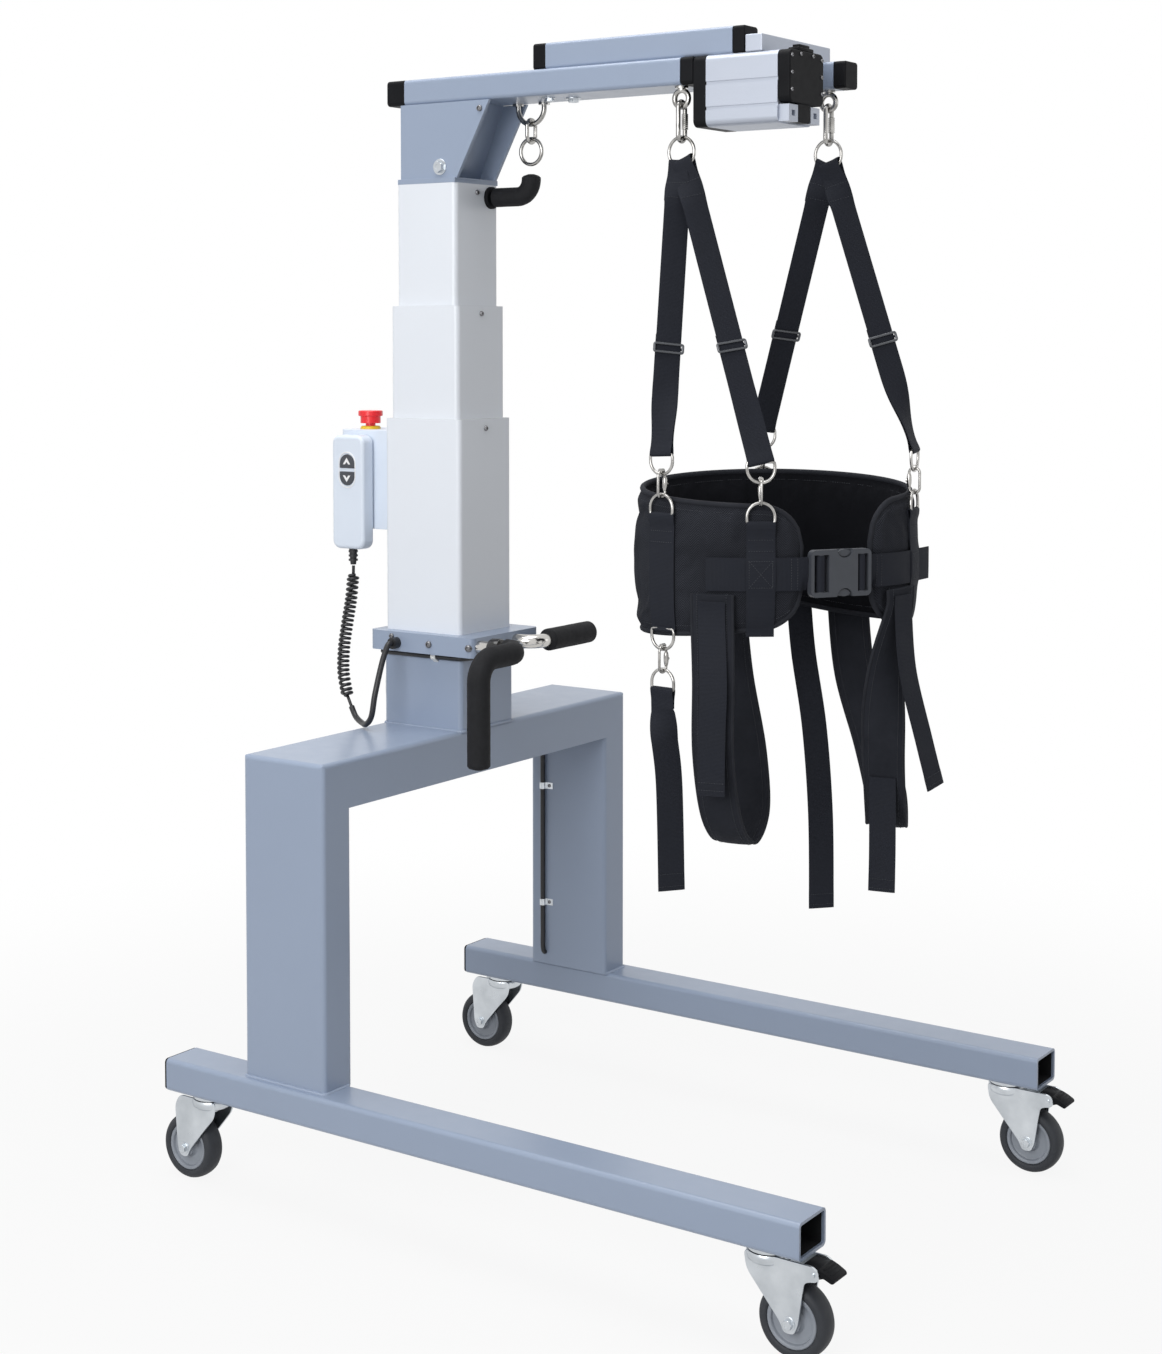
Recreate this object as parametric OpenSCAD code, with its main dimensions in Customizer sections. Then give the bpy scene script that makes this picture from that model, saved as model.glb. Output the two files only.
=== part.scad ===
/* [Base frame] */
// Width over the two legs
base_w = 820; // [780:2:880]
// Length of a leg tube
leg_len = 1098; // [1040:2:1200]
// Width of a leg tube
leg_w = 70; // [66:1:78]
// Height of a leg tube
leg_h = 50; // [46:1:58]
// Wall of the leg tubes
leg_wall = 4; // [3:0.5:5]
// Rounding of the tube edges
edge_r = 7; // [5.5:0.5:9]
// From the rear end of the legs to the middle of the uprights
portal_back = 229; // [210:1:250]
// Depth of the uprights and the crossbeam
portal_d = 156; // [154:1:166]
// Width of an upright
upright_w = 62; // [58:1:64]
// Step from the outer face of a leg to its upright
upright_inset = 14; // [10:1:18]
// Height of the crossbeam's top above the floor
portal_top = 672; // [640:2:700]
// Height of the crossbeam
beam_h = 72; // [64:1:84]

/* [Casters] */
// Diameter of a wheel
wheel_d = 100; // [96:1:106]
// Width of a tyre
wheel_w = 32; // [28:1:35]
// Height from the floor to the legs
caster_h = 138; // [136:1:146]
// Offset of the axle from the swivel axis
trail = 40; // [37:1:42]
// From the end of a leg to the swivel axis
caster_inset = 62; // [58:1:68]
// Reach of a brake pedal ahead of the axle
pedal_reach = 62; // [59:1:68]
// Diameter of a swivel head
head_d = 60; // [54:1:64]

/* [Column] */
// Width of the lower stage
stage_w = 136; // [130:1:146]
// Depth of the lower stage
stage_d = 150; // [146:1:152]
// Wall of a stage
stage_wall = 3; // [2.5:0.5:3.5]
// Height of the socket under the column
socket_h = 120; // [112:1:130]
// Height of the lower stage
lower_h = 368; // [352:1:390]
// Height of the middle stage that shows
middle_show = 178; // [165:1:190]
// Height of the upper stage that shows
upper_show = 192; // [180:1:205]
// Length of the middle stage
middle_len = 470; // [450:1:480]
// Length of the upper stage
upper_len = 455; // [430:1:465]
// Width of the collar
collar_w = 176; // [168:1:190]
// Height of the collar
collar_h = 31; // [28:1:36]

/* [Handles] */
// Radius of a handle tube
handle_r = 11; // [9:0.5:12]
// Radius of a foam grip
grip_r = 17.5; // [15.5:0.5:19]
// Reach of the near handle ahead of the collar
near_reach = 80; // [72:1:96]
// Reach of the far handle ahead of the collar
far_reach = 36; // [32:1:48]
// Sideways run of the near handle
near_side = 108; // [96:1:124]
// Drop of the near handle
near_drop = 160; // [140:1:190]
// Length of the far foam grip
far_grip_len = 120; // [100:1:140]

/* [Controls] */
// Width of the control box
box_w = 90; // [84:1:100]
// Depth of the control box
box_d = 112; // [106:1:120]
// Height of the control box
box_h = 160; // [150:1:175]
// Width of the handset
handset_w = 66; // [60:1:70]
// Height of the handset
handset_h = 184; // [170:1:190]
// Thickness of the handset
handset_t = 28; // [24:1:30]
// Diameter of the stop button
stop_d = 40; // [36:1:42]

/* [Boom] */
// Height of the head bracket
head_h = 125; // [110:1:140]
// Width of the boom tube
boom_w = 100; // [90:1:106]
// Height of the boom tube
boom_h = 40; // [36:1:46]
// Reach of the boom tube ahead of the column's middle
boom_reach = 466; // [440:2:500]
// Length of the extension tube without its caps
ext_len = 328; // [300:2:350]
// Side of the square extension and far tubes
ext_side = 40; // [36:1:44]
// Length of the drive body
drive_len = 118; // [110:1:130]
// Height of the drive body
drive_h = 103; // [96:1:110]
// Sideways place of the far tube
far_x = 140; // [130:1:160]

/* [Harness] */
// Half length of the belt's oval
belt_a = 205; // [190:1:220]
// Half depth of the belt's oval
belt_b = 125; // [112:1:135]
// Thickness of the belt pad
belt_t = 20; // [16:1:24]
// Height of the belt's middle above the floor
belt_z = 962; // [948:1:972]
// Width of a suspension strap
strap_w = 38; // [32:1:42]
// Width of the belt webbing
web_w = 48; // [42:1:50]
// Thickness of webbing
web_t = 3; // [2.4:0.2:3.6]
// Length of the buckle
buckle_len = 98; // [88:1:102]

/* [Hidden] */
$fn = 48;

// Frame places: near side is -X, the open front is -Y
frame_z = caster_h + leg_h;
leg_x = base_w / 2 - leg_w / 2;
front_over = trail + pedal_reach - caster_inset;
rear_over = trail + wheel_d / 2 - caster_inset;
y_front = -(leg_len + front_over + rear_over) / 2 + front_over;
y_rear = y_front + leg_len;
cy = y_rear - portal_back;
upright_x = base_w / 2 - upright_inset - upright_w / 2;
beam_z = portal_top - beam_h;

// Caster places, floor to leg
axle_z = wheel_d / 2;
axle_r = 6;
crown_z1 = caster_h - 5.3;
crown_z0 = crown_z1 - 16;
cheek_x = wheel_w / 2 + 2.5;
cheek_t = 3;
pedal_y = -(trail + 34);
pedal_z = crown_z1 - 12;

// Column heights
socket_w = stage_w + 2;
lower_z0 = portal_top + socket_h;
lower_z1 = lower_z0 + lower_h;
middle_z1 = lower_z1 + middle_show;
middle_z0 = middle_z1 - middle_len;
upper_z1 = middle_z1 + upper_show;
upper_z0 = upper_z1 - upper_len;
step_w = 12;
step_d = 16;
middle_w = stage_w - step_w;
middle_d = stage_d - step_d;
upper_w = middle_w - step_w;
upper_d = middle_d - step_d;
collar_front = 115;
collar_rear = 91;
handle_z = lower_z0 + collar_h / 2;

// Control places behind the lower stage
box_z1 = lower_z1 - 21;
box_z0 = box_z1 - box_h;
box_y0 = stage_d / 2;
stop_y = box_y0 + 78;
stop_neck = stop_d / 2 - 3.5;
set_y = box_y0 + box_d - 39;
set_x1 = -box_w / 2 - 2;
set_x0 = set_x1 - handset_t;
set_z1 = box_z1 - 8;
set_z0 = set_z1 - handset_h;
keys_z = set_z1 - 56;
key_w = 30;
key_h = 22;
key_split = 6;
key_play = 0.35;

// Boom places
boom_z0 = upper_z1 + head_h;
boom_z1 = boom_z0 + boom_h;
boom_back = 47;
boom_front = -boom_reach;
drive_y1 = boom_front - 22;
drive_y0 = drive_y1 - 22 - drive_len;
drive_z0 = boom_z1 - drive_h;
ext_y1 = boom_front + 246;
ext_y0 = ext_y1 - ext_len;
bar_y = ext_y0 - 20 - 18;

// Hooks: the near one under the boom, the far one under the far tube
near_hook = [-30, boom_front + 9];
far_hook = [far_x, bar_y - 22];
hook_mid = (near_hook + far_hook) / 2;
hook_half = norm(far_hook - near_hook) / 2;
hook_turn = atan2(far_hook[1] - near_hook[1], far_hook[0] - near_hook[0]);
eye_z = boom_z0 - 18;
eye_R = 12;
eye_r = 4;
hang_z = eye_z - eye_R;
clip_r = 3.5;
clip_R = eye_r + clip_r + 1.3;
clip_len = 40;
clip_low = hang_z - 1 - clip_len;
ring_R = 22;
ring_r = 2.5;
ring_z = clip_low - clip_R + clip_r + ring_r + 0.3 - ring_R;
clip_turn = 40;
ring_turn = -50;

// Belt oval in the harness frame, u across and v to the rear
belt_u = 36;
belt_end0 = -59;
belt_end1 = 268;
belt_half = 102;
strip_off = 0.7;
waist_off = 1.3 + web_t;
waist_mid = belt_t / 2 + waist_off + web_t / 2;

// Buckle: its middle and turn follow the two strap ends that meet it
buckle_u = belt_u + 49;
buckle_h = web_w + 20;
buckle_t = 12;
buckle_play = 0.8;
buckle_a0 = 360 - acos((buckle_u - buckle_len / 2 - buckle_play - belt_u) / belt_a);
buckle_a1 = -acos((buckle_u + buckle_len / 2 - belt_u - 0.3 * (waist_mid - web_t / 2)) / belt_a);
buckle_v0 = -belt_b - waist_mid;
buckle_v1 = belt_b * sin(buckle_a1) - 0.954 * waist_mid;
buckle_turn = asin((buckle_v1 - buckle_v0) / buckle_len);

// Suspension: top and lower points of the four straps as [u, v]
low_R = 15;
low_r = 2.3;
ring_half = 20;
strap_top = [[-hook_half - 5, 2.6], [-hook_half + 5, -2.6], [hook_half - 5, 2.6], [hook_half + 5, -2.6]];
strap_ang = [204, 251, 84, -25];
adjust_at = [0.62, 0.60, 0.61, 0.59];

// Cord route, hand chosen, from the column's middle: coil, then lead
coil_route = [[-61, 148, 905], [-68, 147, 866], [-80, 145, 828], [-93, 141, 790], [-104, 133, 752],
  [-112, 118, 716]];
lead_route = [[-114, 108, 700], [-118, 96, 686], [-128, 76, 680], [-140, 56, 681], [-146, 40, 696],
  [-142, 36, 730], [-126, 36, 774], [-114, 36, 798], [-108, 36, 805], [-104.5, 36, 805.5],
  [-101.5, 36, 805.5]];
coil_r = 7.8;
coil_d = 5;
coil_turns = 27;
lead_r = 4.6;

// Exact helpers
module rrect(w, d, r) {
  square([w - 2 * r, d], center = true);
  square([w, d - 2 * r], center = true);
  for (x = [-1, 1], y = [-1, 1]) translate([x * (w / 2 - r), y * (d / 2 - r)]) circle(r);
}
module post(w, d, r, z0, z1) translate([0, 0, z0]) linear_extrude(z1 - z0) rrect(w, d, r);
module bar_y_tube(w, h, r, wall, y0, y1) translate([0, y1, 0]) rotate([90, 0, 0])
  linear_extrude(y1 - y0) difference() {
    rrect(w, h, r);
    rrect(w - 2 * wall, h - 2 * wall, max(r - wall, 1));
  }
module bar_y_solid(w, h, r, y0, y1) translate([0, y1, 0]) rotate([90, 0, 0])
  linear_extrude(y1 - y0) rrect(w, h, r);
module yz_plate(x0, t) translate([x0, 0, 0]) rotate([90, 0, 90]) linear_extrude(t) children();
module x_rod(x0, x1, r) translate([x0, 0, 0]) rotate([0, 90, 0]) cylinder(r = r, h = x1 - x0);
module donut(R, r) rotate([90, 0, 0]) rotate_extrude() translate([R, 0]) circle(r, $fn = 32);
module bend(R, r, bore) rotate_extrude(angle = 90) translate([R, 0]) difference() {
  circle(r);
  if (bore > 0) circle(bore);
}
module pipe(r, bore, h) difference() {
  cylinder(r = r, h = h);
  if (bore > 0) translate([0, 0, -1]) cylinder(r = bore, h = h + 2);
}
module oval_link(R, r, len) {
  translate([0, 0, 0]) rotate([90, 0, 0]) rotate_extrude(angle = 180) translate([R, 0]) circle(r, $fn = 32);
  translate([0, 0, -len]) rotate([-90, 0, 0]) rotate_extrude(angle = 180) translate([R, 0])
    circle(r, $fn = 32);
  for (s = [-1, 1]) translate([s * R, 0, -len]) cylinder(r = r, h = len, $fn = 32);
}
module at_column() translate([0, cy, 0]) children();
module at_harness() at_column() translate([hook_mid[0], hook_mid[1], 0]) rotate([0, 0, hook_turn]) children();

// Swept helpers: rings of points joined into one closed skin
function unit(v) = v / norm(v);
function catmull(P, t) = let(n = len(P) - 1, i = min(floor(t), n - 1), f = t - i,
  a = P[max(i - 1, 0)], b = P[i], c = P[i + 1], d = P[min(i + 2, n)])
  0.5 * (2 * b + (c - a) * f + (2 * a - 5 * b + 4 * c - d) * f * f + (3 * b - a - 3 * c + d) * f * f * f);
function smooth_path(P, per) = [for (k = [0 : (len(P) - 1) * per]) catmull(P, k / per)];
function tangent(P, i) = unit(P[min(i + 1, len(P) - 1)] - P[max(i - 1, 0)]);
module skin(rings) {
  n = len(rings);
  m = len(rings[0]);
  pts = [for (r = rings) each r];
  sides = [for (i = [0 : n - 2], j = [0 : m - 1]) let(k = (j + 1) % m)
    each [[i * m + j, (i + 1) * m + j, (i + 1) * m + k], [i * m + j, (i + 1) * m + k, i * m + k]]];
  cap0 = [for (j = [1 : m - 2]) [0, j, j + 1]];
  cap1 = [for (j = [1 : m - 2]) [(n - 1) * m, (n - 1) * m + j + 1, (n - 1) * m + j]];
  polyhedron(points = pts, faces = concat(sides, cap0, cap1), convexity = 8);
}
function round_rings(P, r, n, ref) = [for (i = [0 : len(P) - 1]) let(t = tangent(P, i),
  a = unit(ref - (ref * t) * t), b = cross(t, a))
  [for (j = [0 : n - 1]) P[i] + r * (cos(-360 * j / n) * a + sin(-360 * j / n) * b)]];
function band_rings(P, w, t, refs) = [for (i = [0 : len(P) - 1]) let(d = tangent(P, i), ref = refs[i],
  a = unit(ref - (ref * d) * d), b = cross(d, a), h = w / 2, q = t / 2)
  [for (c = [[-h, -q * 0.4], [-h, q * 0.4], [-h * 0.8, q], [h * 0.8, q], [h, q * 0.4], [h, -q * 0.4],
    [h * 0.8, -q], [-h * 0.8, -q]]) P[i] + c[0] * a + c[1] * b]];

// Belt surface: oval, top and bottom edge, crown
function belt_fade(a) = let(d = min(a - belt_end0, belt_end1 - a), e = 16)
  d >= e ? 1 : d <= 0 ? 0.35 : 0.35 + 0.65 * sqrt(1 - pow((e - d) / e, 2));
function belt_top(a) = belt_half + 18 * sin(a);
function belt_low(a) = -belt_half + 26 * exp(-pow((a - 90) / 34, 2)) + 14 * exp(-pow((a + 60) / 40, 2))
  + 14 * exp(-pow((a - 268) / 40, 2));
function belt_mid(a) = (belt_top(a) + belt_low(a)) / 2;
function belt_hh(a) = (belt_top(a) - belt_low(a)) / 2 * belt_fade(min(max(a, belt_end0), belt_end1));
function oval(a) = [belt_u + belt_a * cos(a), belt_b * sin(a), 0];
function oval_out(a) = unit([cos(a) / belt_a, sin(a) / belt_b, 0]);
function crown(s) = max(pow(1 - pow(min(abs(s), 1), 3), 0.6), 0.12);
function belt_pt(a, s, off) = oval(a) + oval_out(a) * off + [0, 0, belt_z + belt_mid(a) + s * belt_hh(a)];
function belt_face(a, z, off) = let(s = (z - belt_z - belt_mid(a)) / belt_hh(a))
  oval(a) + oval_out(a) * (belt_t / 2 * crown(s) + off) + [0, 0, z];
function patch_ring(a, z0, z1, n, off) = concat(
  [for (k = [0 : n]) belt_face(a, z0 + (z1 - z0) * k / n, off)],
  [for (k = [n : -1 : 0]) belt_face(a, z0 + (z1 - z0) * k / n, off + web_t)]);
function upright_ring(a0, a1, z, n) = concat(
  [for (k = [n : -1 : 0]) belt_face(a0 + (a1 - a0) * k / n, z, strip_off)],
  [for (k = [0 : n]) belt_face(a0 + (a1 - a0) * k / n, z, strip_off + web_t)]);

// Base frame
module leg(x) translate([x, 0, caster_h + leg_h / 2]) bar_y_tube(leg_w, leg_h, edge_r, leg_wall, y_front, y_rear);
module near_leg() color([0.55, 0.62, 0.73]) leg(-leg_x);
module far_leg() color([0.55, 0.62, 0.73]) leg(leg_x);
module leg_plugs() color([0.06, 0.06, 0.07]) for (s = [-1, 1]) translate([s * leg_x, 0, caster_h + leg_h / 2]) {
  bar_y_solid(leg_w - 2, leg_h - 2, edge_r - 1, y_rear, y_rear + 4);
  bar_y_solid(leg_w - 2 * leg_wall - 0.4, leg_h - 2 * leg_wall - 0.4, max(edge_r - leg_wall, 1), y_rear - 22, y_rear);
}
module upright_core(z0, z1) post(upright_w - 2 * leg_wall, portal_d - 2 * leg_wall, max(edge_r - leg_wall, 1), z0, z1);
module upright(x) translate([x, cy, 0]) difference() {
  post(upright_w, portal_d, edge_r, frame_z, beam_z);
  upright_core(frame_z - 1, beam_z + 1);
}
module near_upright() color([0.55, 0.62, 0.73]) upright(-upright_x);
module far_upright() color([0.55, 0.62, 0.73]) upright(upright_x);
module crossbeam() color([0.55, 0.62, 0.73]) at_column() difference() {
  w = 2 * upright_x + upright_w;
  intersection() {
    post(w, portal_d, edge_r, beam_z, portal_top);
    translate([0, 0, portal_top - beam_h]) bar_y_solid(w, 2 * beam_h, edge_r, -portal_d, portal_d);
    translate([-base_w / 2, 0, portal_top - beam_h]) rotate([0, 0, 90]) mirror([0, 1, 0])
      bar_y_solid(portal_d, 2 * beam_h, edge_r, 0, base_w);
  }
  post(w - 2 * leg_wall, portal_d - 2 * leg_wall, max(edge_r - leg_wall, 1), beam_z + leg_wall, portal_top - leg_wall);
  for (x = [-upright_x, upright_x]) translate([x, 0, 0]) upright_core(beam_z - 1, beam_z + leg_wall + 1);
}
module column_socket() color([0.55, 0.62, 0.73]) at_column() translate([0, 0, portal_top])
  linear_extrude(socket_h) difference() {
    rrect(socket_w, portal_d, 8);
    rrect(stage_w - 2 * stage_wall, stage_d - 2 * stage_wall, 5);
  }
module collar() color([0.55, 0.62, 0.73]) at_column() translate([0, 0, lower_z0]) linear_extrude(collar_h)
  difference() {
    translate([0, (collar_rear - collar_front) / 2]) rrect(collar_w, collar_front + collar_rear, 10);
    rrect(stage_w + 0.6, stage_d + 0.6, 8.3);
  }

// Telescopic column
module stage(w, d, z0, z1) translate([0, 0, z0]) linear_extrude(z1 - z0) difference() {
  rrect(w, d, 8);
  rrect(w - 2 * stage_wall, d - 2 * stage_wall, 8 - stage_wall);
}
module glide(w, d, z0) translate([0, 0, z0]) linear_extrude(36) difference() {
  rrect(w + step_w - 2 * stage_wall - 0.6, d + step_d - 2 * stage_wall - 0.6, 5);
  rrect(w - 1, d - 1, 7.5);
}
module lower_stage() color([0.9, 0.91, 0.92]) at_column() stage(stage_w, stage_d, lower_z0, lower_z1);
module lift_motor() color([0.2, 0.2, 0.22]) at_column() post(stage_w - 30, stage_d - 34, 6, portal_top, portal_top + 30);
module lift_screw() color([0.6, 0.6, 0.62]) at_column() translate([0, 0, portal_top + 30])
  cylinder(r = 12, h = middle_z0 + 172 - portal_top - 30);
module middle_stage() color([0.9, 0.91, 0.92]) at_column() {
  stage(middle_w, middle_d, middle_z0, middle_z1);
  glide(middle_w, middle_d, middle_z0);
  translate([0, 0, middle_z0]) linear_extrude(12) difference() {
    rrect(middle_w - 2, middle_d - 2, 7);
    circle(12.3);
  }
}
module upper_stage() color([0.9, 0.91, 0.92]) at_column() {
  stage(upper_w, upper_d, upper_z0, upper_z1);
  glide(upper_w, upper_d, upper_z0);
}

// Handles on the collar
module near_path(r, bore, tail) {
  R1 = 32;
  R2 = 34;
  side = near_side - R1 - R2;
  translate([-R1, -near_reach + R1, 0]) rotate([0, 0, -90]) bend(R1, r, bore);
  translate([-R1 - side, -near_reach, 0]) rotate([0, 90, 0]) pipe(r, bore, side);
  translate([-R1 - side, -near_reach, -R2]) rotate([90, 0, 0]) rotate([0, 0, 90]) bend(R2, r, bore);
  translate([-near_side, -near_reach, -near_drop - tail]) pipe(r, bore, near_drop + tail - R2);
}
module near_handle() color([0.62, 0.63, 0.65]) at_column() translate([-70, -collar_front, handle_z]) {
  rotate([90, 0, 0]) cylinder(r = handle_r, h = near_reach - 32);
  translate([0, -26, 0]) rotate([90, 0, 0]) cylinder(r = handle_r + 4, h = 14);
  near_path(handle_r, 0, 0);
}
module near_grip() color([0.05, 0.05, 0.05]) at_column() translate([-70, -collar_front, handle_z]) {
  near_path(grip_r, handle_r + 0.2, 0);
  translate([-near_side, -near_reach, -near_drop - 5]) cylinder(r = grip_r, h = 5);
}
module far_handle() color([0.62, 0.63, 0.65]) at_column() translate([25, -collar_front, handle_z]) {
  R = 26;
  rotate([90, 0, 0]) cylinder(r = handle_r, h = far_reach - R);
  translate([R, -far_reach + R, 0]) rotate([0, 0, 180]) bend(R, handle_r, 0);
  translate([R, -far_reach, 0]) rotate([0, 90, 0]) cylinder(r = handle_r, h = far_grip_len + 6);
}
module far_grip() color([0.05, 0.05, 0.05]) at_column() translate([25 + 26 + 6.3, -collar_front - far_reach, handle_z])
  rotate([0, 90, 0]) {
    pipe(grip_r, handle_r + 0.2, far_grip_len);
    translate([0, 0, far_grip_len]) cylinder(r = grip_r, h = 5);
  }

// Controls behind the column
module control_box() color([0.9, 0.9, 0.9]) at_column() difference() {
  union() {
    translate([0, box_y0 + box_d / 2, 0]) post(box_w, box_d, 8, box_z0, box_z1);
    translate([-10, stop_y, box_z1]) cylinder(r = stop_neck - 2.5, h = 4.5);
    translate([set_x1, set_y - 15, set_z1 - 110]) cube([4, 30, 70]);
  }
  translate([-10, stop_y, box_z1 - 20]) cylinder(r = 8.3, h = 40);
}
module stop_button() color([0.75, 0.04, 0.05]) at_column() translate([-10, stop_y, box_z1]) {
  translate([0, 0, -12]) cylinder(r = 8, h = 24);
  translate([0, 0, 9.5]) cylinder(r = stop_neck, h = 14);
  translate([0, 0, 21]) rotate_extrude() {
    translate([0, 1.5]) square([stop_d / 2, 5.5]);
    square([stop_d / 2 - 1.5, 9]);
    translate([stop_d / 2 - 1.5, 1.5]) circle(1.5);
    translate([stop_d / 2 - 2, 7]) circle(2);
  }
}
module key_face(grow) {
  w = key_w + 2 * grow;
  z0 = key_split / 2 - grow;
  rise = key_split / 2 + key_h - key_w / 2;
  translate([-w / 2, z0]) square([w, rise - z0]);
  translate([0, rise]) intersection() {
    circle(w / 2);
    translate([-w / 2, 0]) square([w, w]);
  }
}
module key_block(up, x, t, grow) translate([x, set_y, keys_z]) rotate([90, 0, 90]) linear_extrude(t)
  rotate([0, 0, up ? 0 : 180]) key_face(grow);
module handset() color([0.75, 0.76, 0.77]) at_column() difference() {
  translate([set_x0, set_y, (set_z0 + set_z1) / 2]) rotate([90, 0, 90]) linear_extrude(handset_t)
    rrect(handset_w, handset_h, 14);
  for (up = [true, false]) key_block(up, set_x0 - 1, 6, key_play);
}
module up_key() color([0.15, 0.15, 0.17]) at_column() key_block(true, set_x0 - 1.4, 4.6, 0);
module down_key() color([0.15, 0.15, 0.17]) at_column() key_block(false, set_x0 - 1.4, 4.6, 0);

// Cord: relief under the handset, coil, lead, gland on the collar
coil_path = smooth_path(coil_route, 60);
coil_n = coil_turns * 8;
function coil_axis(t) = catmull(coil_route, t * (len(coil_route) - 1));
function coil_wide(t) = coil_r * min(1, t / 0.03, (1 - t) / 0.03);
function coil_pt(k) = let(t = k / coil_n, c = coil_axis(t), d = unit(coil_axis(min(t + 0.004, 1)) - coil_axis(max(t - 0.004, 0))),
  a = unit(cross(d, [0, 1, 0])), b = cross(d, a), q = 45 * k)
  c + coil_wide(t) * (cos(q) * a + sin(q) * b);
coil_pts = concat([coil_route[0] + [4, 0, 14]], [for (k = [0 : coil_n]) coil_pt(k)],
  [lead_route[0] - 0.04 * (lead_route[1] - lead_route[0])]);
coil_gap = min([for (k = [8 : coil_n - 16]) norm(coil_pt(k + 8) - coil_pt(k))]) - coil_d;
echo(str("least gap between curls ", coil_gap));
relief_z = set_z0;
module cord_relief() color([0.05, 0.05, 0.05]) at_column() translate([(set_x0 + set_x1) / 2, set_y, relief_z - 26]) {
  cylinder(r1 = 4.6, r2 = 7, h = 26);
  for (k = [0 : 2]) translate([0, 0, 6 + 7 * k]) cylinder(r = 7.6, h = 3);
}
module curly_cord() color([0.05, 0.05, 0.05]) at_column() skin(round_rings(coil_pts, coil_d / 2, 6, [0.3, 0.9, 0.2]));
module cord_lead() color([0.05, 0.05, 0.05]) at_column() skin(round_rings(smooth_path(lead_route, 4), lead_r, 10, [1, 0.2, 0.1]));
module cord_gland() color([0.05, 0.05, 0.05]) at_column() translate([-collar_w / 2 - 13, 36, handle_z - 2]) {
  rotate([0, 90, 0]) cylinder(r = 9, h = 13);
}

// Wiring held along the socket and down the far upright
module cables() color([0.05, 0.05, 0.05]) at_column() {
  wx = -socket_w / 2 - 4.4;
  wz = lower_z0 - 5;
  wy = portal_d / 2;
  skin(round_rings(smooth_path([[-40, wy + 4.6, wz - 40], [-40, wy + 4.6, wz - 24], [-46, wy + 4.6, wz - 6], [-58, wy + 4.6, wz], [wx + 5, wy + 2, wz], [wx, wy - 8, wz], [wx, 30, wz], [wx, -30, wz],
    [wx, -wy + 8, wz], [wx + 6, -wy - 4, wz], [-52, -wy - 8, wz], [-20, -wy - 10, wz], [0, -wy - 10, wz],
    [11, -wy - 8, wz], [15.5, -wy - 3.5, wz], [16, -wy - 0.3, wz]], 3), 4, 8, [0.1, 0.2, 1]));
  ux = upright_x - upright_w / 2;
  skin(round_rings(smooth_path([[ux - 4.6, 50, beam_z - 0.3], [ux - 4.6, 50, beam_z - 20], [ux - 4.6, 50, 450], [ux - 4.6, 50, 280],
    [ux - 4.8, 49.6, 248], [ux - 6, 49, 226], [ux - 6, 48, 214], [ux - 3.2, 48, 209], [ux - 0.3, 48, 208.4]], 3), 4, 8, [0, 1, 0.1]));
}

// Casters: fork turns on the head's pin, wheel turns on the axle
module caster(x, front) translate([x, front ? y_front + caster_inset : y_rear - caster_inset, 0])
  rotate([0, 0, front ? 0 : 180]) children();
module caster_heads() color([0.7, 0.71, 0.73]) for (x = [-leg_x, leg_x], f = [true, false]) caster(x, f) {
  translate([0, 0, caster_h - 5]) cylinder(d = head_d - 4, h = 5);
  translate([0, 0, crown_z0 - 4]) cylinder(r = 6, h = crown_z1 - crown_z0 + 6);
  translate([0, 0, crown_z0 - 6.3]) cylinder(r = 9, h = 6);
}
module fork(front) {
  z1 = crown_z1 - 1;
  difference() {
    union() {
      translate([0, 0, crown_z0]) cylinder(d = head_d, h = crown_z1 - crown_z0);
      for (s = [-1, 1]) yz_plate(s > 0 ? cheek_x : -cheek_x - cheek_t, cheek_t) {
        polygon(front ? [[26, z1], [-trail - 34, z1], [-trail - 42, z1 - 6], [-trail - 42, z1 - 18],
          [-trail - 22, z1 - 22], [-trail - 13, axle_z], [-trail + 13, axle_z], [22, z1 - 24]]
          : [[26, z1], [-trail - 8, z1], [-trail - 18, z1 - 16], [-trail - 13, axle_z], [-trail + 13, axle_z],
          [22, z1 - 24]]);
        translate([-trail, axle_z]) circle(13);
      }
      translate([0, -trail, axle_z]) {
        x_rod(-cheek_x - cheek_t - 4, cheek_x + cheek_t + 4, axle_r);
        x_rod(-cheek_x - cheek_t - 3, -cheek_x - cheek_t, 9);
        x_rod(cheek_x + cheek_t, cheek_x + cheek_t + 3, 9);
      }
      if (front) translate([0, pedal_y, pedal_z]) x_rod(-cheek_x - cheek_t, cheek_x + cheek_t, 3);
    }
    translate([0, 0, crown_z0 - 1]) cylinder(r = 6.05, h = 40);
  }
}
module near_front_fork() color([0.7, 0.71, 0.73]) caster(-leg_x, true) fork(true);
module far_front_fork() color([0.7, 0.71, 0.73]) caster(leg_x, true) fork(true);
module near_rear_fork() color([0.7, 0.71, 0.73]) caster(-leg_x, false) fork(false);
module far_rear_fork() color([0.7, 0.71, 0.73]) caster(leg_x, false) fork(false);
module wheel() translate([0, -trail, axle_z]) rotate([0, 90, 0]) rotate_extrude($fn = 96) {
  R = wheel_d / 2;
  intersection() {
    translate([R - 14, -wheel_w / 2]) square([14, wheel_w]);
    translate([R - 40, 0]) circle(40, $fn = 96);
  }
  translate([R - 18, -wheel_w / 2 + 4]) square([6, wheel_w - 8]);
  translate([13, -9]) square([R - 28, 18]);
  translate([axle_r + 0.05, -cheek_x + 0.7]) square([9, 2 * cheek_x - 1.4]);
}
module near_front_wheel() color([0.25, 0.25, 0.27]) caster(-leg_x, true) wheel();
module far_front_wheel() color([0.25, 0.25, 0.27]) caster(leg_x, true) wheel();
module near_rear_wheel() color([0.25, 0.25, 0.27]) caster(-leg_x, false) wheel();
module far_rear_wheel() color([0.25, 0.25, 0.27]) caster(leg_x, false) wheel();
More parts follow.
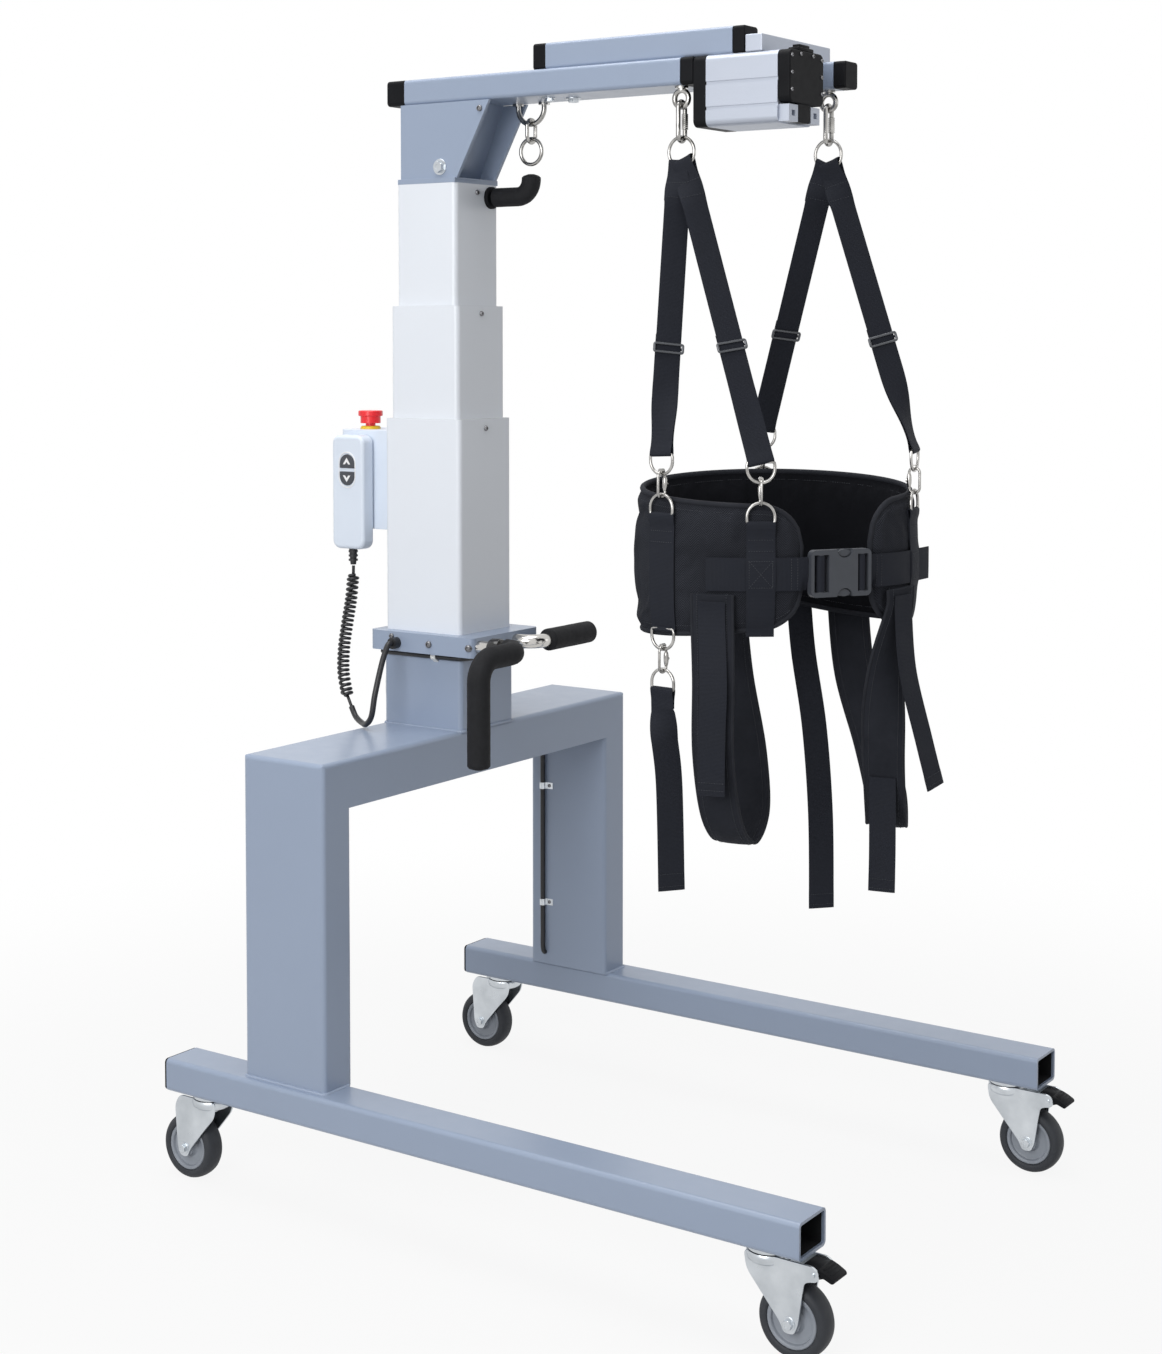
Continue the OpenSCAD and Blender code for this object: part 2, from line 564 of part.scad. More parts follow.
module brake() difference() {
  translate([0, pedal_y, pedal_z]) {
    x_rod(-cheek_x + 0.5, cheek_x - 0.5, 7);
    yz_plate(-cheek_x + 0.5, 2 * cheek_x - 1) polygon([[-28, -7], [-28, -2], [-8, 8], [16, 9], [20, 6], [12, 1],
      [0, -3], [-8, -2]]);
  }
  translate([0, pedal_y, pedal_z]) x_rod(-cheek_x - 1, cheek_x + 1, 3.05);
}
module near_brake() color([0.06, 0.06, 0.07]) caster(-leg_x, true) brake();
module far_brake() color([0.06, 0.06, 0.07]) caster(leg_x, true) brake();

// Head, boom and drive
module head_bracket() color([0.55, 0.62, 0.73]) at_column() {
  pt = 6;
  translate([0, 0, upper_z1]) linear_extrude(8) translate([0, -1]) square([upper_w, upper_d - 4], center = true);
  for (s = [-1, 1]) yz_plate(s > 0 ? upper_w / 2 - 4 - pt : -upper_w / 2 + 4, pt)
    polygon([[53, upper_z1], [53, boom_z0], [-122, boom_z0], [-55, upper_z1]]);
  yz_plate(-upper_w / 2 + 5, upper_w - 10) polygon([[-25, upper_z1], [-17, upper_z1], [-70, boom_z0], [-78, boom_z0]]);
  yz_plate(-upper_w / 2 + 5, upper_w - 10) polygon([[45, upper_z1], [51, upper_z1], [51, boom_z0], [45, boom_z0]]);
}
module boom() color([0.55, 0.62, 0.73]) at_column() translate([0, 0, boom_z0 + boom_h / 2])
  bar_y_tube(boom_w, boom_h, 6, 4, boom_front, boom_back);
module extension_tube() color([0.55, 0.62, 0.73]) at_column() translate([-20, 0, boom_z1 + ext_side / 2])
  bar_y_tube(ext_side, ext_side, 5, 3, ext_y0, ext_y1);
module tube_caps() color([0.06, 0.06, 0.07]) at_column() {
  translate([0, 0, boom_z0 + boom_h / 2]) {
    bar_y_solid(boom_w, boom_h, 6, boom_back, boom_back + 36);
    bar_y_solid(boom_w, boom_h, 6, boom_front - 22, boom_front);
  }
  translate([-20, 0, boom_z1 + ext_side / 2]) {
    bar_y_solid(ext_side, ext_side, 5, ext_y1, ext_y1 + 24);
    bar_y_solid(ext_side, ext_side, 5, ext_y0 - 20, ext_y0);
  }
  translate([far_x, 0, boom_z1 - ext_side / 2]) {
    bar_y_solid(ext_side, ext_side, 5, drive_y0 - 18, drive_y0 + 2);
    bar_y_solid(ext_side, ext_side, 5, drive_y0 + 142, drive_y0 + 150);
  }
}
module drive_body() color([0.78, 0.79, 0.8]) at_column() {
  difference() {
    translate([0, 0, drive_z0 + drive_h / 2]) bar_y_solid(boom_w, drive_h, 10, drive_y0, drive_y1 - 22);
    for (s = [-1, 1], z = [26, 62]) translate([s * boom_w / 2, drive_y0 + drive_len / 2, drive_z0 + z])
      cube([4, drive_len + 4, 5], center = true);
  }
  for (s = [-1, 1]) translate([s * 32 - 13, drive_y0 - 16, drive_z0 + 2]) difference() {
    cube([26, 16, 24]);
    translate([8, -1, 8]) cube([10, 6, 8]);
  }
}
module drive_covers() color([0.06, 0.06, 0.07]) at_column() {
  translate([0, 0, drive_z0 + drive_h / 2]) bar_y_solid(boom_w, drive_h, 10, drive_y1 - 22, drive_y1);
  translate([0, 0, drive_z0 + drive_h / 2 + 14]) bar_y_solid(boom_w, drive_h - 28, 10, drive_y0 - 20, drive_y0);
  translate([-18.6, drive_y0 - 16, drive_z0 + 2]) cube([37.2, 16, 26]);
}
module cross_bar() color([0.8, 0.81, 0.82]) at_column() translate([-45, bar_y - 14, boom_z1])
  cube([far_x + ext_side / 2 + 45, 28, 25]);
module far_tube() color([0.55, 0.62, 0.73]) at_column() translate([far_x, 0, boom_z1 - ext_side / 2])
  bar_y_tube(ext_side, ext_side, 5, 3, drive_y0 + 2, drive_y0 + 142);
module eye(p, z1) translate([p[0], p[1], 0]) {
  translate([0, 0, eye_z]) rotate([0, 0, hook_turn + ring_turn]) donut(eye_R, eye_r);
  translate([0, 0, eye_z + eye_R]) cylinder(r = 6, h = z1 - eye_z - eye_R);
  translate([0, 0, z1 - 3]) cylinder(r = 10, h = 3);
}
module hook_eyes() color([0.7, 0.71, 0.73]) at_column() {
  eye(near_hook, boom_z0);
  eye(far_hook, boom_z1 - ext_side);
}
module tether() color([0.7, 0.71, 0.73]) at_column() translate([35.5, -139, 0]) rotate([0, 0, 90]) {
  translate([0, 0, boom_z0 - 8]) {
    rotate([-90, 0, 0]) rotate_extrude(angle = 180) translate([25, 0]) circle(4, $fn = 32);
    for (s = [-1, 1]) translate([s * 25, 0, 0]) {
      cylinder(r = 4, h = 8);
      translate([0, 0, 4]) cylinder(r = 9, h = 4);
    }
  }
  z1 = boom_z0 - 8 - 25 + 4 + 3 + 0.3;
  rotate([0, 0, 90]) translate([0, 0, z1 - 11]) oval_link(11, 3, 14);
  translate([0, 0, z1 - 22 - 14 + 6.3 - 20]) donut(20, 3);
}
module padded_arm() color([0.16, 0.16, 0.17]) at_column() translate([35.5, 0, upper_z1 - 20]) {
  translate([0, -upper_d / 2, 0]) rotate([90, 0, 0]) cylinder(r = 15, h = 139 - 26 - upper_d / 2);
  translate([0, -upper_d / 2, 0]) rotate([90, 0, 0]) cylinder(r = 17.5, h = 6);
  translate([0, -139 + 26, 26]) rotate([0, 90, 0]) rotate([0, 0, -90]) rotate([0, 0, 0]) bend(26, 15, 0);
  translate([0, -139, 26]) cylinder(r = 15, h = 8);
}

// Harness: hangs from the two eyes and swings about the line through them
module carabiners() color([0.75, 0.76, 0.78]) at_harness() for (s = [-1, 1])
  translate([s * hook_half, 0, hang_z - 1]) rotate([0, 0, clip_turn]) oval_link(clip_R, clip_r, clip_len);
module top_rings() color([0.75, 0.76, 0.78]) at_harness() for (s = [-1, 1])
  translate([s * hook_half, 0, ring_z]) rotate([0, 0, ring_turn]) donut(ring_R, ring_r);
function strap_p(i) = [strap_top[i][0], strap_top[i][1], ring_z - ring_R - ring_r - 0.1];
function low_z(i) = belt_z + belt_top(strap_ang[i]) + 50;
function strip_z1(i) = low_z(i) - ring_drop - low_R - low_r - 0.5;
function strap_base(i) = let(o = belt_face(strap_ang[i], strip_z1(i), 1.4 + web_t / 2)) [o[0], o[1], low_z(i)];
function strap_bar(i) = let(n = oval_out(strap_ang[i])) sign(-n[1]) * [-n[1], n[0], 0];
function strap_q(i) = let(b = unit(cross(strap_p(i) - strap_base(i), strap_bar(i))))
  strap_base(i) + [0, 0, low_R + low_r + 0.4 + web_t / 2 * abs(b[2])];
module aim(p, q) {
  z = unit(q - p);
  x = unit([1, 0, 0] - z[0] * z);
  y = cross(z, x);
  multmatrix([[x[0], y[0], z[0], p[0]], [x[1], y[1], z[1], p[1]], [x[2], y[2], z[2], p[2]], [0, 0, 0, 1]]) children();
}
// A strap hangs flat from the ring and turns to lie along the bar under it
function strap_ring(p, q, bar, f) = let(z = unit(q - p), x = unit([1, 0, 0] - z[0] * z), g = max(0, 4 * f - 3),
  a = unit((1 - g) * x + g * bar), b = unit(cross(z, a)))
  [for (c = [[-1, -1], [-1, 1], [1, 1], [1, -1]]) p + f * (q - p) + c[0] * strap_w / 2 * a + c[1] * web_t / 2 * b];
module suspension_straps() color([0.07, 0.07, 0.08]) at_harness() for (i = [0 : 3])
  skin([for (f = [0, 0.75, 0.8, 0.85, 0.9, 0.95, 1]) strap_ring(strap_p(i), strap_q(i), strap_bar(i), f)]);
module strap_adjusters() color([0.07, 0.07, 0.08]) at_harness() for (i = [0 : 3]) aim(strap_p(i), strap_q(i))
  translate([0, 0, adjust_at[i] * norm(strap_q(i) - strap_p(i))]) linear_extrude(16) difference() {
    rrect(strap_w + 9, 12, 3);
    square([strap_w + 0.6, web_t + 0.6], center = true);
  }
link_R = 8;
link_r = 2;
link_len = 22;
link_drop = low_R - low_r - link_r - 0.3 + link_R;
ring_drop = link_drop + link_len + link_R - link_r - low_r - 0.3 + low_R;
strip_len = 160;
side_p = belt_face(strap_ang[0], strip_z1(0) - strip_len, strip_off + web_t / 2);
side_z = side_p[2] - 0.5 - low_R - low_r;
module d_ring() {
  mid = ring_half - low_R;
  translate([0, 0, mid]) rotate([-90, 0, 0]) rotate_extrude(angle = 180) translate([ring_half, 0])
    circle(low_r, $fn = 32);
  for (s = [-1, 1]) {
    translate([s * ring_half, 0, mid]) cylinder(r = low_r, h = low_R - mid, $fn = 32);
    translate([s * ring_half, 0, low_R]) sphere(low_r, $fn = 32);
  }
  translate([0, 0, low_R]) x_rod(-ring_half, ring_half, low_r);
}
module ring_chain(z) {
  translate([0, 0, z]) d_ring();
  translate([0, 0, z - link_drop]) rotate([0, 0, 90]) oval_link(link_R, link_r, link_len);
  translate([0, 0, z - ring_drop]) rotate([0, 180, 0]) d_ring();
}
module strap_hardware() color([0.75, 0.76, 0.78]) at_harness() {
  for (i = [0 : 3]) let(p = strap_base(i), n = oval_out(strap_ang[i]))
    translate([p[0], p[1], 0]) rotate([0, 0, atan2(n[0], -n[1])]) ring_chain(low_z(i));
  n = oval_out(strap_ang[0]);
  translate([side_p[0], side_p[1], 0]) rotate([0, 0, atan2(n[0], -n[1])]) ring_chain(side_z);
}
module belt_pad() color([0.07, 0.07, 0.08]) at_harness() {
  n = 64;
  skin([for (i = [0 : n]) let(a = belt_end0 + (belt_end1 - belt_end0) * i / n)
    concat([for (k = [0 : 6]) let(s = -sin(90 - 30 * k)) belt_pt(a, s, belt_t / 2 * crown(s))],
      [for (k = [6 : -1 : 0]) let(s = -sin(90 - 30 * k)) belt_pt(a, s, -belt_t / 2 * crown(s))])]);
}
module waist_strap() color([0.07, 0.07, 0.08]) at_harness() {
  for (r = [[buckle_a1, -20], [228, buckle_a0]]) skin([for (i = [0 : 16]) let(a = r[0] + (r[1] - r[0]) * i / 16)
    patch_ring(a, belt_z - 11 - web_w / 2, belt_z - 11 + web_w / 2, 4, waist_off)]);
}
// Side release buckle: two windows with a wrapped bar each, a socket between them and a pad at each side
module buckle() color([0.06, 0.06, 0.07]) at_harness()
  translate([buckle_u, (buckle_v0 + buckle_v1) / 2, belt_z - 11]) rotate([90, 0, buckle_turn]) {
    windows = [[-buckle_len / 2 + 17, 24, 6], [buckle_len / 2 - 13.5, 17, 5]];
    pad_u = 6;
    difference() {
      translate([0, 0, -buckle_t / 2]) linear_extrude(buckle_t) difference() {
        rrect(buckle_len, buckle_h, 8);
        for (w = windows) translate([w[0], 0]) square([w[1], web_w + 6], center = true);
      }
      for (s = [-1, 1]) translate([pad_u, s * (buckle_h / 2 + 1), 3 - buckle_t / 2]) cylinder(r = 13, h = buckle_t);
    }
    for (s = [-1, 1]) translate([pad_u, 0, 2 - buckle_t / 2]) linear_extrude(7) intersection() {
      translate([0, s * (buckle_h / 2 + 1)]) circle(11.5);
      translate([0, s * (buckle_h / 2 - 16)]) circle(16);
    }
    for (w = windows) translate([w[0], web_w / 2 + 5, 0]) rotate([90, 0, 0]) cylinder(r = w[2], h = web_w + 10);
  }

// Leg loops and tails: hand chosen points, the width turning from the belt's line to the loop's own
near_loop = concat([belt_face(231, belt_z - 40, 5), belt_face(231, belt_z - 75, 5.6)],
  [[-98, -112, 800], [-96, -106, 690], [-76, -84, 592], [-40, -44, 548], [-6, 0, 582], [2, 40, 660], [-4, 88, 770]],
  [belt_face(100, belt_z - 88, 5.6), belt_face(100, belt_z - 62, 5)]);
near_turn = [[0.86, -0.5, 0], [0.86, -0.5, 0], [0.8, -0.6, 0], [0.75, -0.6, 0], [0.75, -0.6, 0], [0.75, -0.6, 0],
  [0.75, -0.6, 0], [0.8, -0.5, 0], [0.9, -0.2, 0], [0.99, 0.1, 0], [0.99, 0.1, 0]];
far_loop = concat([belt_face(-43, belt_z - 40, 5), belt_face(-43, belt_z - 75, 5.6)],
  [[170, -100, 800], [172, -88, 690], [186, -62, 596], [204, -24, 556], [220, 20, 590], [214, 56, 668], [196, 92, 770]],
  [belt_face(45, belt_z - 88, 5.6), belt_face(45, belt_z - 62, 5)]);
far_turn = [[0.86, 0.5, 0], [0.86, 0.5, 0], [0.92, 0.2, 0], [0.85, -0.5, 0], [0.75, -0.6, 0], [0.75, -0.6, 0],
  [0.75, -0.6, 0], [0.8, -0.55, 0], [0.85, -0.5, 0], [0.855, -0.52, 0], [0.855, -0.52, 0]];
module leg_loop(P, T) skin(band_rings(smooth_path(P, 5), web_w + 14, 8, smooth_path(T, 5)));
module near_leg_loop() color([0.07, 0.07, 0.08]) at_harness() leg_loop(near_loop, near_turn);
module far_leg_loop() color([0.07, 0.07, 0.08]) at_harness() leg_loop(far_loop, far_turn);
side_u = side_p[0];
side_v = side_p[1];
side_tail_z = side_z - ring_drop - low_R - low_r - 0.5;
function below_belt(a) = oval(a) + [0, 0, belt_z + belt_low(a) - 1.7];
tails = [
  [[side_u, side_v, side_tail_z], [side_u + 2, side_v, side_tail_z - 60], [side_u + 10, side_v, 640],
    [side_u + 14, side_v, 483]],
  [belt_face(231, belt_z - 50, 11.4), belt_face(231, belt_z - 78, 13), [-102, -125, 790], [-104, -124, 720],
    [-104, -122, 634]],
  [belt_face(-43, belt_z - 50, 11.4), belt_face(-43, belt_z - 78, 14.5), [198, -118, 800], [222, -122, 700],
    [240, -124, 630]],
  [below_belt(68), [116, 104, 800], [122, 70, 690], [124, 46, 560], [124, 40, 416]],
  [[173.6, -81.6, 639], [174.2, -80.6, 622], [175, -79.6, 570], [175, -79.6, 520], [174, -80, 468]]];
tail_turn = [[1, 0, 0], [0.86, -0.5, 0], [0.86, 0.5, 0], [1, 0, 0], [0.8, -0.55, 0]];
module webbing_tails() color([0.07, 0.07, 0.08]) at_harness() {
  for (i = [0 : 3]) let(t = strap_ang[i])
    skin([for (k = [0 : 10]) upright_ring(t - 6, t + 6, strip_z1(i) - strip_len * k / 10, 4)]);
  for (i = [0 : 4]) let(P = smooth_path(tails[i], 4))
    skin(band_rings(P, web_w - 8, web_t, [for (q = P) tail_turn[i]]));
}

near_leg();
far_leg();
leg_plugs();
near_upright();
far_upright();
crossbeam();
column_socket();
collar();
lower_stage();
lift_motor();
lift_screw();
near_handle();
near_grip();
far_handle();
far_grip();
control_box();
handset();
cord_relief();
curly_cord();
cord_lead();
cord_gland();
cables();
caster_heads();
near_front_fork();
far_front_fork();
near_rear_fork();
far_rear_fork();
near_front_wheel();
far_front_wheel();
near_rear_wheel();
far_rear_wheel();
near_brake();
far_brake();
stop_button();
up_key();
down_key();
middle_stage();
upper_stage();
head_bracket();
boom();
extension_tube();
tube_caps();
drive_body();
drive_covers();
cross_bar();
far_tube();
hook_eyes();
tether();
padded_arm();
carabiners();
top_rings();
suspension_straps();
strap_adjusters();
strap_hardware();
belt_pad();
waist_strap();
buckle();
near_leg_loop();
far_leg_loop();
webbing_tails();
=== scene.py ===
import math
import bmesh
import bpy
import numpy as np
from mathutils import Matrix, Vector


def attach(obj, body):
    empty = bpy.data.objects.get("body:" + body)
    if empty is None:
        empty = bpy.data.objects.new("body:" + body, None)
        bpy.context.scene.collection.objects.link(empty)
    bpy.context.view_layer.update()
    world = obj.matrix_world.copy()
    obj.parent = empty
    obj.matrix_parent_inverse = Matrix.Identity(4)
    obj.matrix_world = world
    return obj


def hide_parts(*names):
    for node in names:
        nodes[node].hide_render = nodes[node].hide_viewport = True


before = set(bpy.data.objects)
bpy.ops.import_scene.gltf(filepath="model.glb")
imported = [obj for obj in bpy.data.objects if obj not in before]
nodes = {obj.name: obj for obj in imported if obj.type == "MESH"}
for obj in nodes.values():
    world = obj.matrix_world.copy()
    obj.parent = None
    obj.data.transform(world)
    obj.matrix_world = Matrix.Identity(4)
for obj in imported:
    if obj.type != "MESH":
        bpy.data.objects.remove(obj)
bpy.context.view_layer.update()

# Photographer's corner: a pale floor, a white surround and large soft lamps.
# The camera stands at head height on the handset side, level, with the frame slid down.
scene = bpy.context.scene
scene.view_settings.view_transform = "Standard"


def shown_as(name, data):
    made = bpy.data.objects.new(name, data)
    scene.collection.objects.link(made)
    return made


camera = shown_as("camera", bpy.data.cameras.new("camera"))
camera_yaw, camera_pitch = 0.6021, 0.05
camera.location = (-2.7623, -1.8303, 1.2941)
gaze = Vector((math.cos(camera_yaw) * math.cos(camera_pitch), math.sin(camera_yaw) * math.cos(camera_pitch),
               -math.sin(camera_pitch)))
camera.rotation_euler = gaze.to_track_quat("-Z", "Y").to_euler()
camera.data.lens, camera.data.sensor_width, camera.data.shift_y = 58.14, 36, -0.1726
camera.data.clip_end = 60
scene.camera = camera


class Field:
    """A node socket that adds, multiplies and compares like a number."""

    def __init__(self, tree, socket=None):
        self.tree, self.socket = tree, socket

    def node(self, kind, inputs=None, out=0, **settings):
        made = self.tree.nodes.new(kind)
        for key, value in settings.items():
            setattr(made, key, value)
        for key, value in (inputs or {}).items():
            if isinstance(value, Field):
                self.tree.links.new(value.socket, made.inputs[key])
            else:
                made.inputs[key].default_value = value
        return Field(self.tree, made.outputs[out])

    def maths(self, operation, first, second=0.0):
        return self.node("ShaderNodeMath", {0: first, 1: second}, operation=operation)

    def __add__(self, other): return self.maths("ADD", self, other)
    def __radd__(self, other): return self.maths("ADD", other, self)
    def __mul__(self, other): return self.maths("MULTIPLY", self, other)
    def __rmul__(self, other): return self.maths("MULTIPLY", other, self)
    def __gt__(self, other): return self.maths("GREATER_THAN", self, other)


def new_material(name):
    material = bpy.data.materials.new(name)
    material.use_nodes = True
    tree = material.node_tree
    tree.nodes.clear()
    return material, tree, tree.nodes.new("ShaderNodeOutputMaterial")


def ray_kinds(tree, *kinds):
    rays = tree.nodes.new("ShaderNodeLightPath").outputs
    first, *others = (Field(tree, rays["Is %s Ray" % kind]) for kind in kinds)
    return sum(others, first) > 0.5


floor_material, tree, output = new_material("studio_floor")
start = Field(tree)
away = start.node("ShaderNodeVectorMath", {0: start.node("ShaderNodeNewGeometry")}, 1, operation="LENGTH")
fade = start.node("ShaderNodeMapRange", {0: away, 1: 0.8, 2: 2.3, 3: 0.9, 4: 1.0}, interpolation_type="SMOOTHSTEP")
plain = start.node("ShaderNodeBsdfDiffuse", {"Color": (0.5, 0.5, 0.5, 1)})
bright = start.node("ShaderNodeEmission", {"Color": (1, 1, 1, 1), "Strength": 1.0})
seen = ray_kinds(tree, "Camera", "Glossy")
mixed = start.node("ShaderNodeMixShader", {0: fade * seen, 1: plain, 2: bright})
tree.links.new(mixed.socket, output.inputs["Surface"])
floor_mesh = bpy.data.meshes.new("floor")
floor_mesh.from_pydata([(-30, -30, 0), (30, -30, 0), (30, 30, 0), (-30, 30, 0)], [], [(0, 1, 2, 3)])
floor_mesh.materials.append(floor_material)
floor = shown_as("floor", floor_mesh)

world = bpy.data.worlds.new("surround")
scene.world = world
world.use_nodes = True
tree = world.node_tree
tree.nodes.clear()
shown = ray_kinds(tree, "Camera", "Glossy", "Transmission")
sky = Field(tree).node("ShaderNodeBackground", {"Color": (1, 1, 1, 1), "Strength": 0.34 + 0.66 * shown})
tree.links.new(sky.socket, tree.nodes.new("ShaderNodeOutputWorld").inputs["Surface"])
for lamp_name, spot, aim, size, power in (("window", (-3.6, -0.4, 2.0), (0, 0, 0.8), 2.4, 80),
                                          ("ceiling", (-0.4, 0.4, 4.2), (0, 0, 0.6), 3.0, 92),
                                          ("far_fill", (2.2, -3.4, 1.6), (0, 0, 0.9), 1.8, 7)):
    lamp = bpy.data.lights.new(lamp_name, "AREA")
    lamp.shape, lamp.size, lamp.energy = "DISK", size, power
    holder = shown_as(lamp_name, lamp)
    holder.location = spot
    holder.rotation_euler = (Vector(aim) - Vector(spot)).to_track_quat("-Z", "Y").to_euler()

# Handset cord and wiring: soft black sheath, a wound stretch from the handset's relief and a plain
# lead that turns on the crossbeam and goes up into the gland on the collar. Two cables lie along
# the socket and the far upright, held by clips.
column_y = 0.326


def mm(*points):
    return np.array(points, float) / 1000


def along(points, per):
    points = [np.array(p, float) for p in points]
    last, line = len(points) - 1, []
    for k in range(last * per + 1):
        i = min(k // per, last - 1)
        f = k / per - i
        a, b, c, d = points[max(i - 1, 0)], points[i], points[i + 1], points[min(i + 2, last)]
        line.append(0.5 * (2 * b + (c - a) * f + (2 * a - 5 * b + 4 * c - d) * f ** 2
                           + (3 * b - a - 3 * c + d) * f ** 3))
    return np.array(line)


def bands(rows, m, closed=False):
    return [(i * m + k, (i + 1) % rows * m + k, (i + 1) % rows * m + (k + 1) % m, i * m + (k + 1) % m)
            for i in range(rows if closed else rows - 1) for k in range(m)]


def flipped(quads):
    return [(a, d, c, b) for a, b, c, d in quads]


def caps(rows, m):
    return [tuple(reversed(range(m))), tuple(range((rows - 1) * m, rows * m))]


def unit(vectors):
    return vectors / np.linalg.norm(vectors, axis=-1, keepdims=True)


def square_to(side, way):
    return unit(side - way * (side @ way))


def reach_of(line):
    return np.concatenate([[0.0], np.cumsum(np.linalg.norm(np.diff(line, axis=0), axis=1))])


def tube(line, radius, sides, loop=False, normal=None):
    line = np.asarray(line, float)
    count = len(line)
    ahead = unit(np.roll(line, -1, axis=0) - np.roll(line, 1, axis=0) if loop else np.gradient(line, axis=0))
    fixed = None if normal is None else np.array(normal, float)
    side = np.cross(ahead[0], (0.31, 0.9, 0.22)) if fixed is None else fixed
    radii = np.broadcast_to(np.asarray(radius, float), (count,))
    verts = []
    for point, way, r in zip(line, ahead, radii):
        side = square_to(side if fixed is None else fixed, way)
        over = np.cross(way, side)
        verts += [point + r * (math.cos(a) * side + math.sin(a) * over)
                  for a in (2 * math.pi * k / sides for k in range(sides))]
    return verts, flipped(bands(count, sides, loop)) + ([] if loop else caps(count, sides))


def assigned(made, body, replaced=()):
    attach(made, body)
    if replaced:
        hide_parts(*replaced)
    return made


def new_mesh(name, shape, material, uv=None):
    mesh = bpy.data.meshes.new(name)
    mesh.from_pydata([tuple(p) for p in shape[0]], [], shape[1])
    if uv is not None:
        corners = np.array([uv[i] for face in shape[1] for i in face], np.float32)
        mesh.uv_layers.new(name="lay").data.foreach_set("uv", corners.ravel())
    mesh.materials.append(material)
    return mesh


def piece(name, shape, material, body, replaced=(), smooth=True, uv=None):
    mesh = new_mesh(name, shape, material, uv)
    if smooth:
        mesh.shade_smooth()
        mesh.set_sharp_from_angle(angle=0.7)
    return assigned(shown_as(name, mesh), body, replaced)


def principled(name, colour, roughness, metallic=0.0, **plain_values):
    material, tree, output = new_material(name)
    shader = tree.nodes.new("ShaderNodeBsdfPrincipled")
    shader.inputs["Base Color"].default_value = (*colour, 1)
    shader.inputs["Roughness"].default_value = roughness
    shader.inputs["Metallic"].default_value = metallic
    for key, value in plain_values.items():
        shader.inputs[key.replace("_", " ")].default_value = value
    tree.links.new(shader.outputs[0], output.inputs["Surface"])
    coords = tree.nodes.new("ShaderNodeTexCoord")
    return material, shader, Field(tree, coords.outputs["Object"]), Field(tree, coords.outputs["UV"])


def feed(shader, key, field):
    field.tree.links.new(field.socket, shader.inputs[key])


def speckle(where, scale, detail=3.0):
    return where.node("ShaderNodeTexNoise", {"Vector": where, "Scale": scale, "Detail": detail})


def shades(factor, dark, light):
    return factor.node("ShaderNodeMix", {0: factor, 6: (*dark, 1), 7: (*light, 1)}, 2, data_type="RGBA")


def relief(where, height, strength, distance):
    return where.node("ShaderNodeBump", {"Strength": strength, "Distance": distance, "Height": height})


def surface(name, tones, rough, grain=None, metallic=0.0, **plain_values):
    """Tones: a colour, or noise scale and detail, dark, light. Rough: a level, or least, spread and noise scale.
    Grain: noise scale and detail, strength and depth of the bumps."""
    mottled, uneven = len(tones) == 4, isinstance(rough, tuple)
    colour = np.mean(tones[2:], axis=0) if mottled else tones
    level = rough[0] + rough[1] / 2 if uneven else rough
    material, shader, where, _ = principled(name, colour, level, metallic, **plain_values)
    if mottled:
        feed(shader, "Base Color", shades(speckle(where, *tones[:2]), *tones[2:]))
    if uneven:
        feed(shader, "Roughness", rough[0] + rough[1] * speckle(where, rough[2]))
    if grain:
        feed(shader, "Normal", relief(where, speckle(where, *grain[:2]), *grain[2:]))
    return material


def dress(material, *names):
    for name in names:
        nodes[name].data.materials.clear()
        nodes[name].data.materials.append(material)


sheath = surface("cord_sheath", (60, 3, (0.012, 0.012, 0.014), (0.026, 0.026, 0.029)), (0.32, 0.16, 140),
                 (900, 3, 0.12, 0.0004), Specular_IOR_Level=0.4)


def sheathed(name, line, radius, sides, leaves, replaced, **said):
    made = piece(name, tube(line, radius, sides), sheath, "base", [replaced])
    tuple(line[leaves])
    float(reach_of(line)[-1])
    [tuple(p) for p in line]


coil_route = mm((-61, 148, 905), (-68, 147, 866), (-80, 145, 828), (-93, 141, 790), (-104, 133, 752),
                (-112, 118, 716)) + (0, column_y, 0)
lead_route = mm((-114, 108, 700), (-118, 96, 686), (-128, 76, 680), (-140, 56, 681), (-146, 40, 696), (-142, 36, 730),
                (-126, 36, 774), (-114, 36, 798), (-108, 36, 805), (-104.5, 36, 805.5),
                (-101.5, 36, 805.5)) + (0, column_y, 0)
turns, steps, wound_r = 27, 16, 0.0078
axis = along(coil_route, 120)
count = turns * steps
wound = []
for k in range(count + 1):
    t = k / count
    at = t * (len(axis) - 1)
    i = min(int(at), len(axis) - 2)
    middle = axis[i] + (axis[i + 1] - axis[i]) * (at - i)
    way = unit(axis[min(i + 2, len(axis) - 1)] - axis[max(i - 2, 0)])
    out = unit(np.cross(way, (0, 1, 0)))
    turn = 2 * math.pi * k / steps
    wide = wound_r * min(1, t / 0.03, (1 - t) / 0.03)
    wound.append(middle + wide * (math.cos(turn) * out + math.sin(turn) * np.cross(way, out)))
wound = np.array([coil_route[0] + (0.0004, 0, 0.014), *wound, lead_route[0] + 0.05 * (lead_route[1] - lead_route[0])])
sheathed("curly_cord_wound", wound, 0.0025, 10, 0, "curly_cord", lay="hanging")
sheathed("cord_lead_plain", along(lead_route, 8), 0.0046, 16, -1, "cord_lead", lay="hanging")

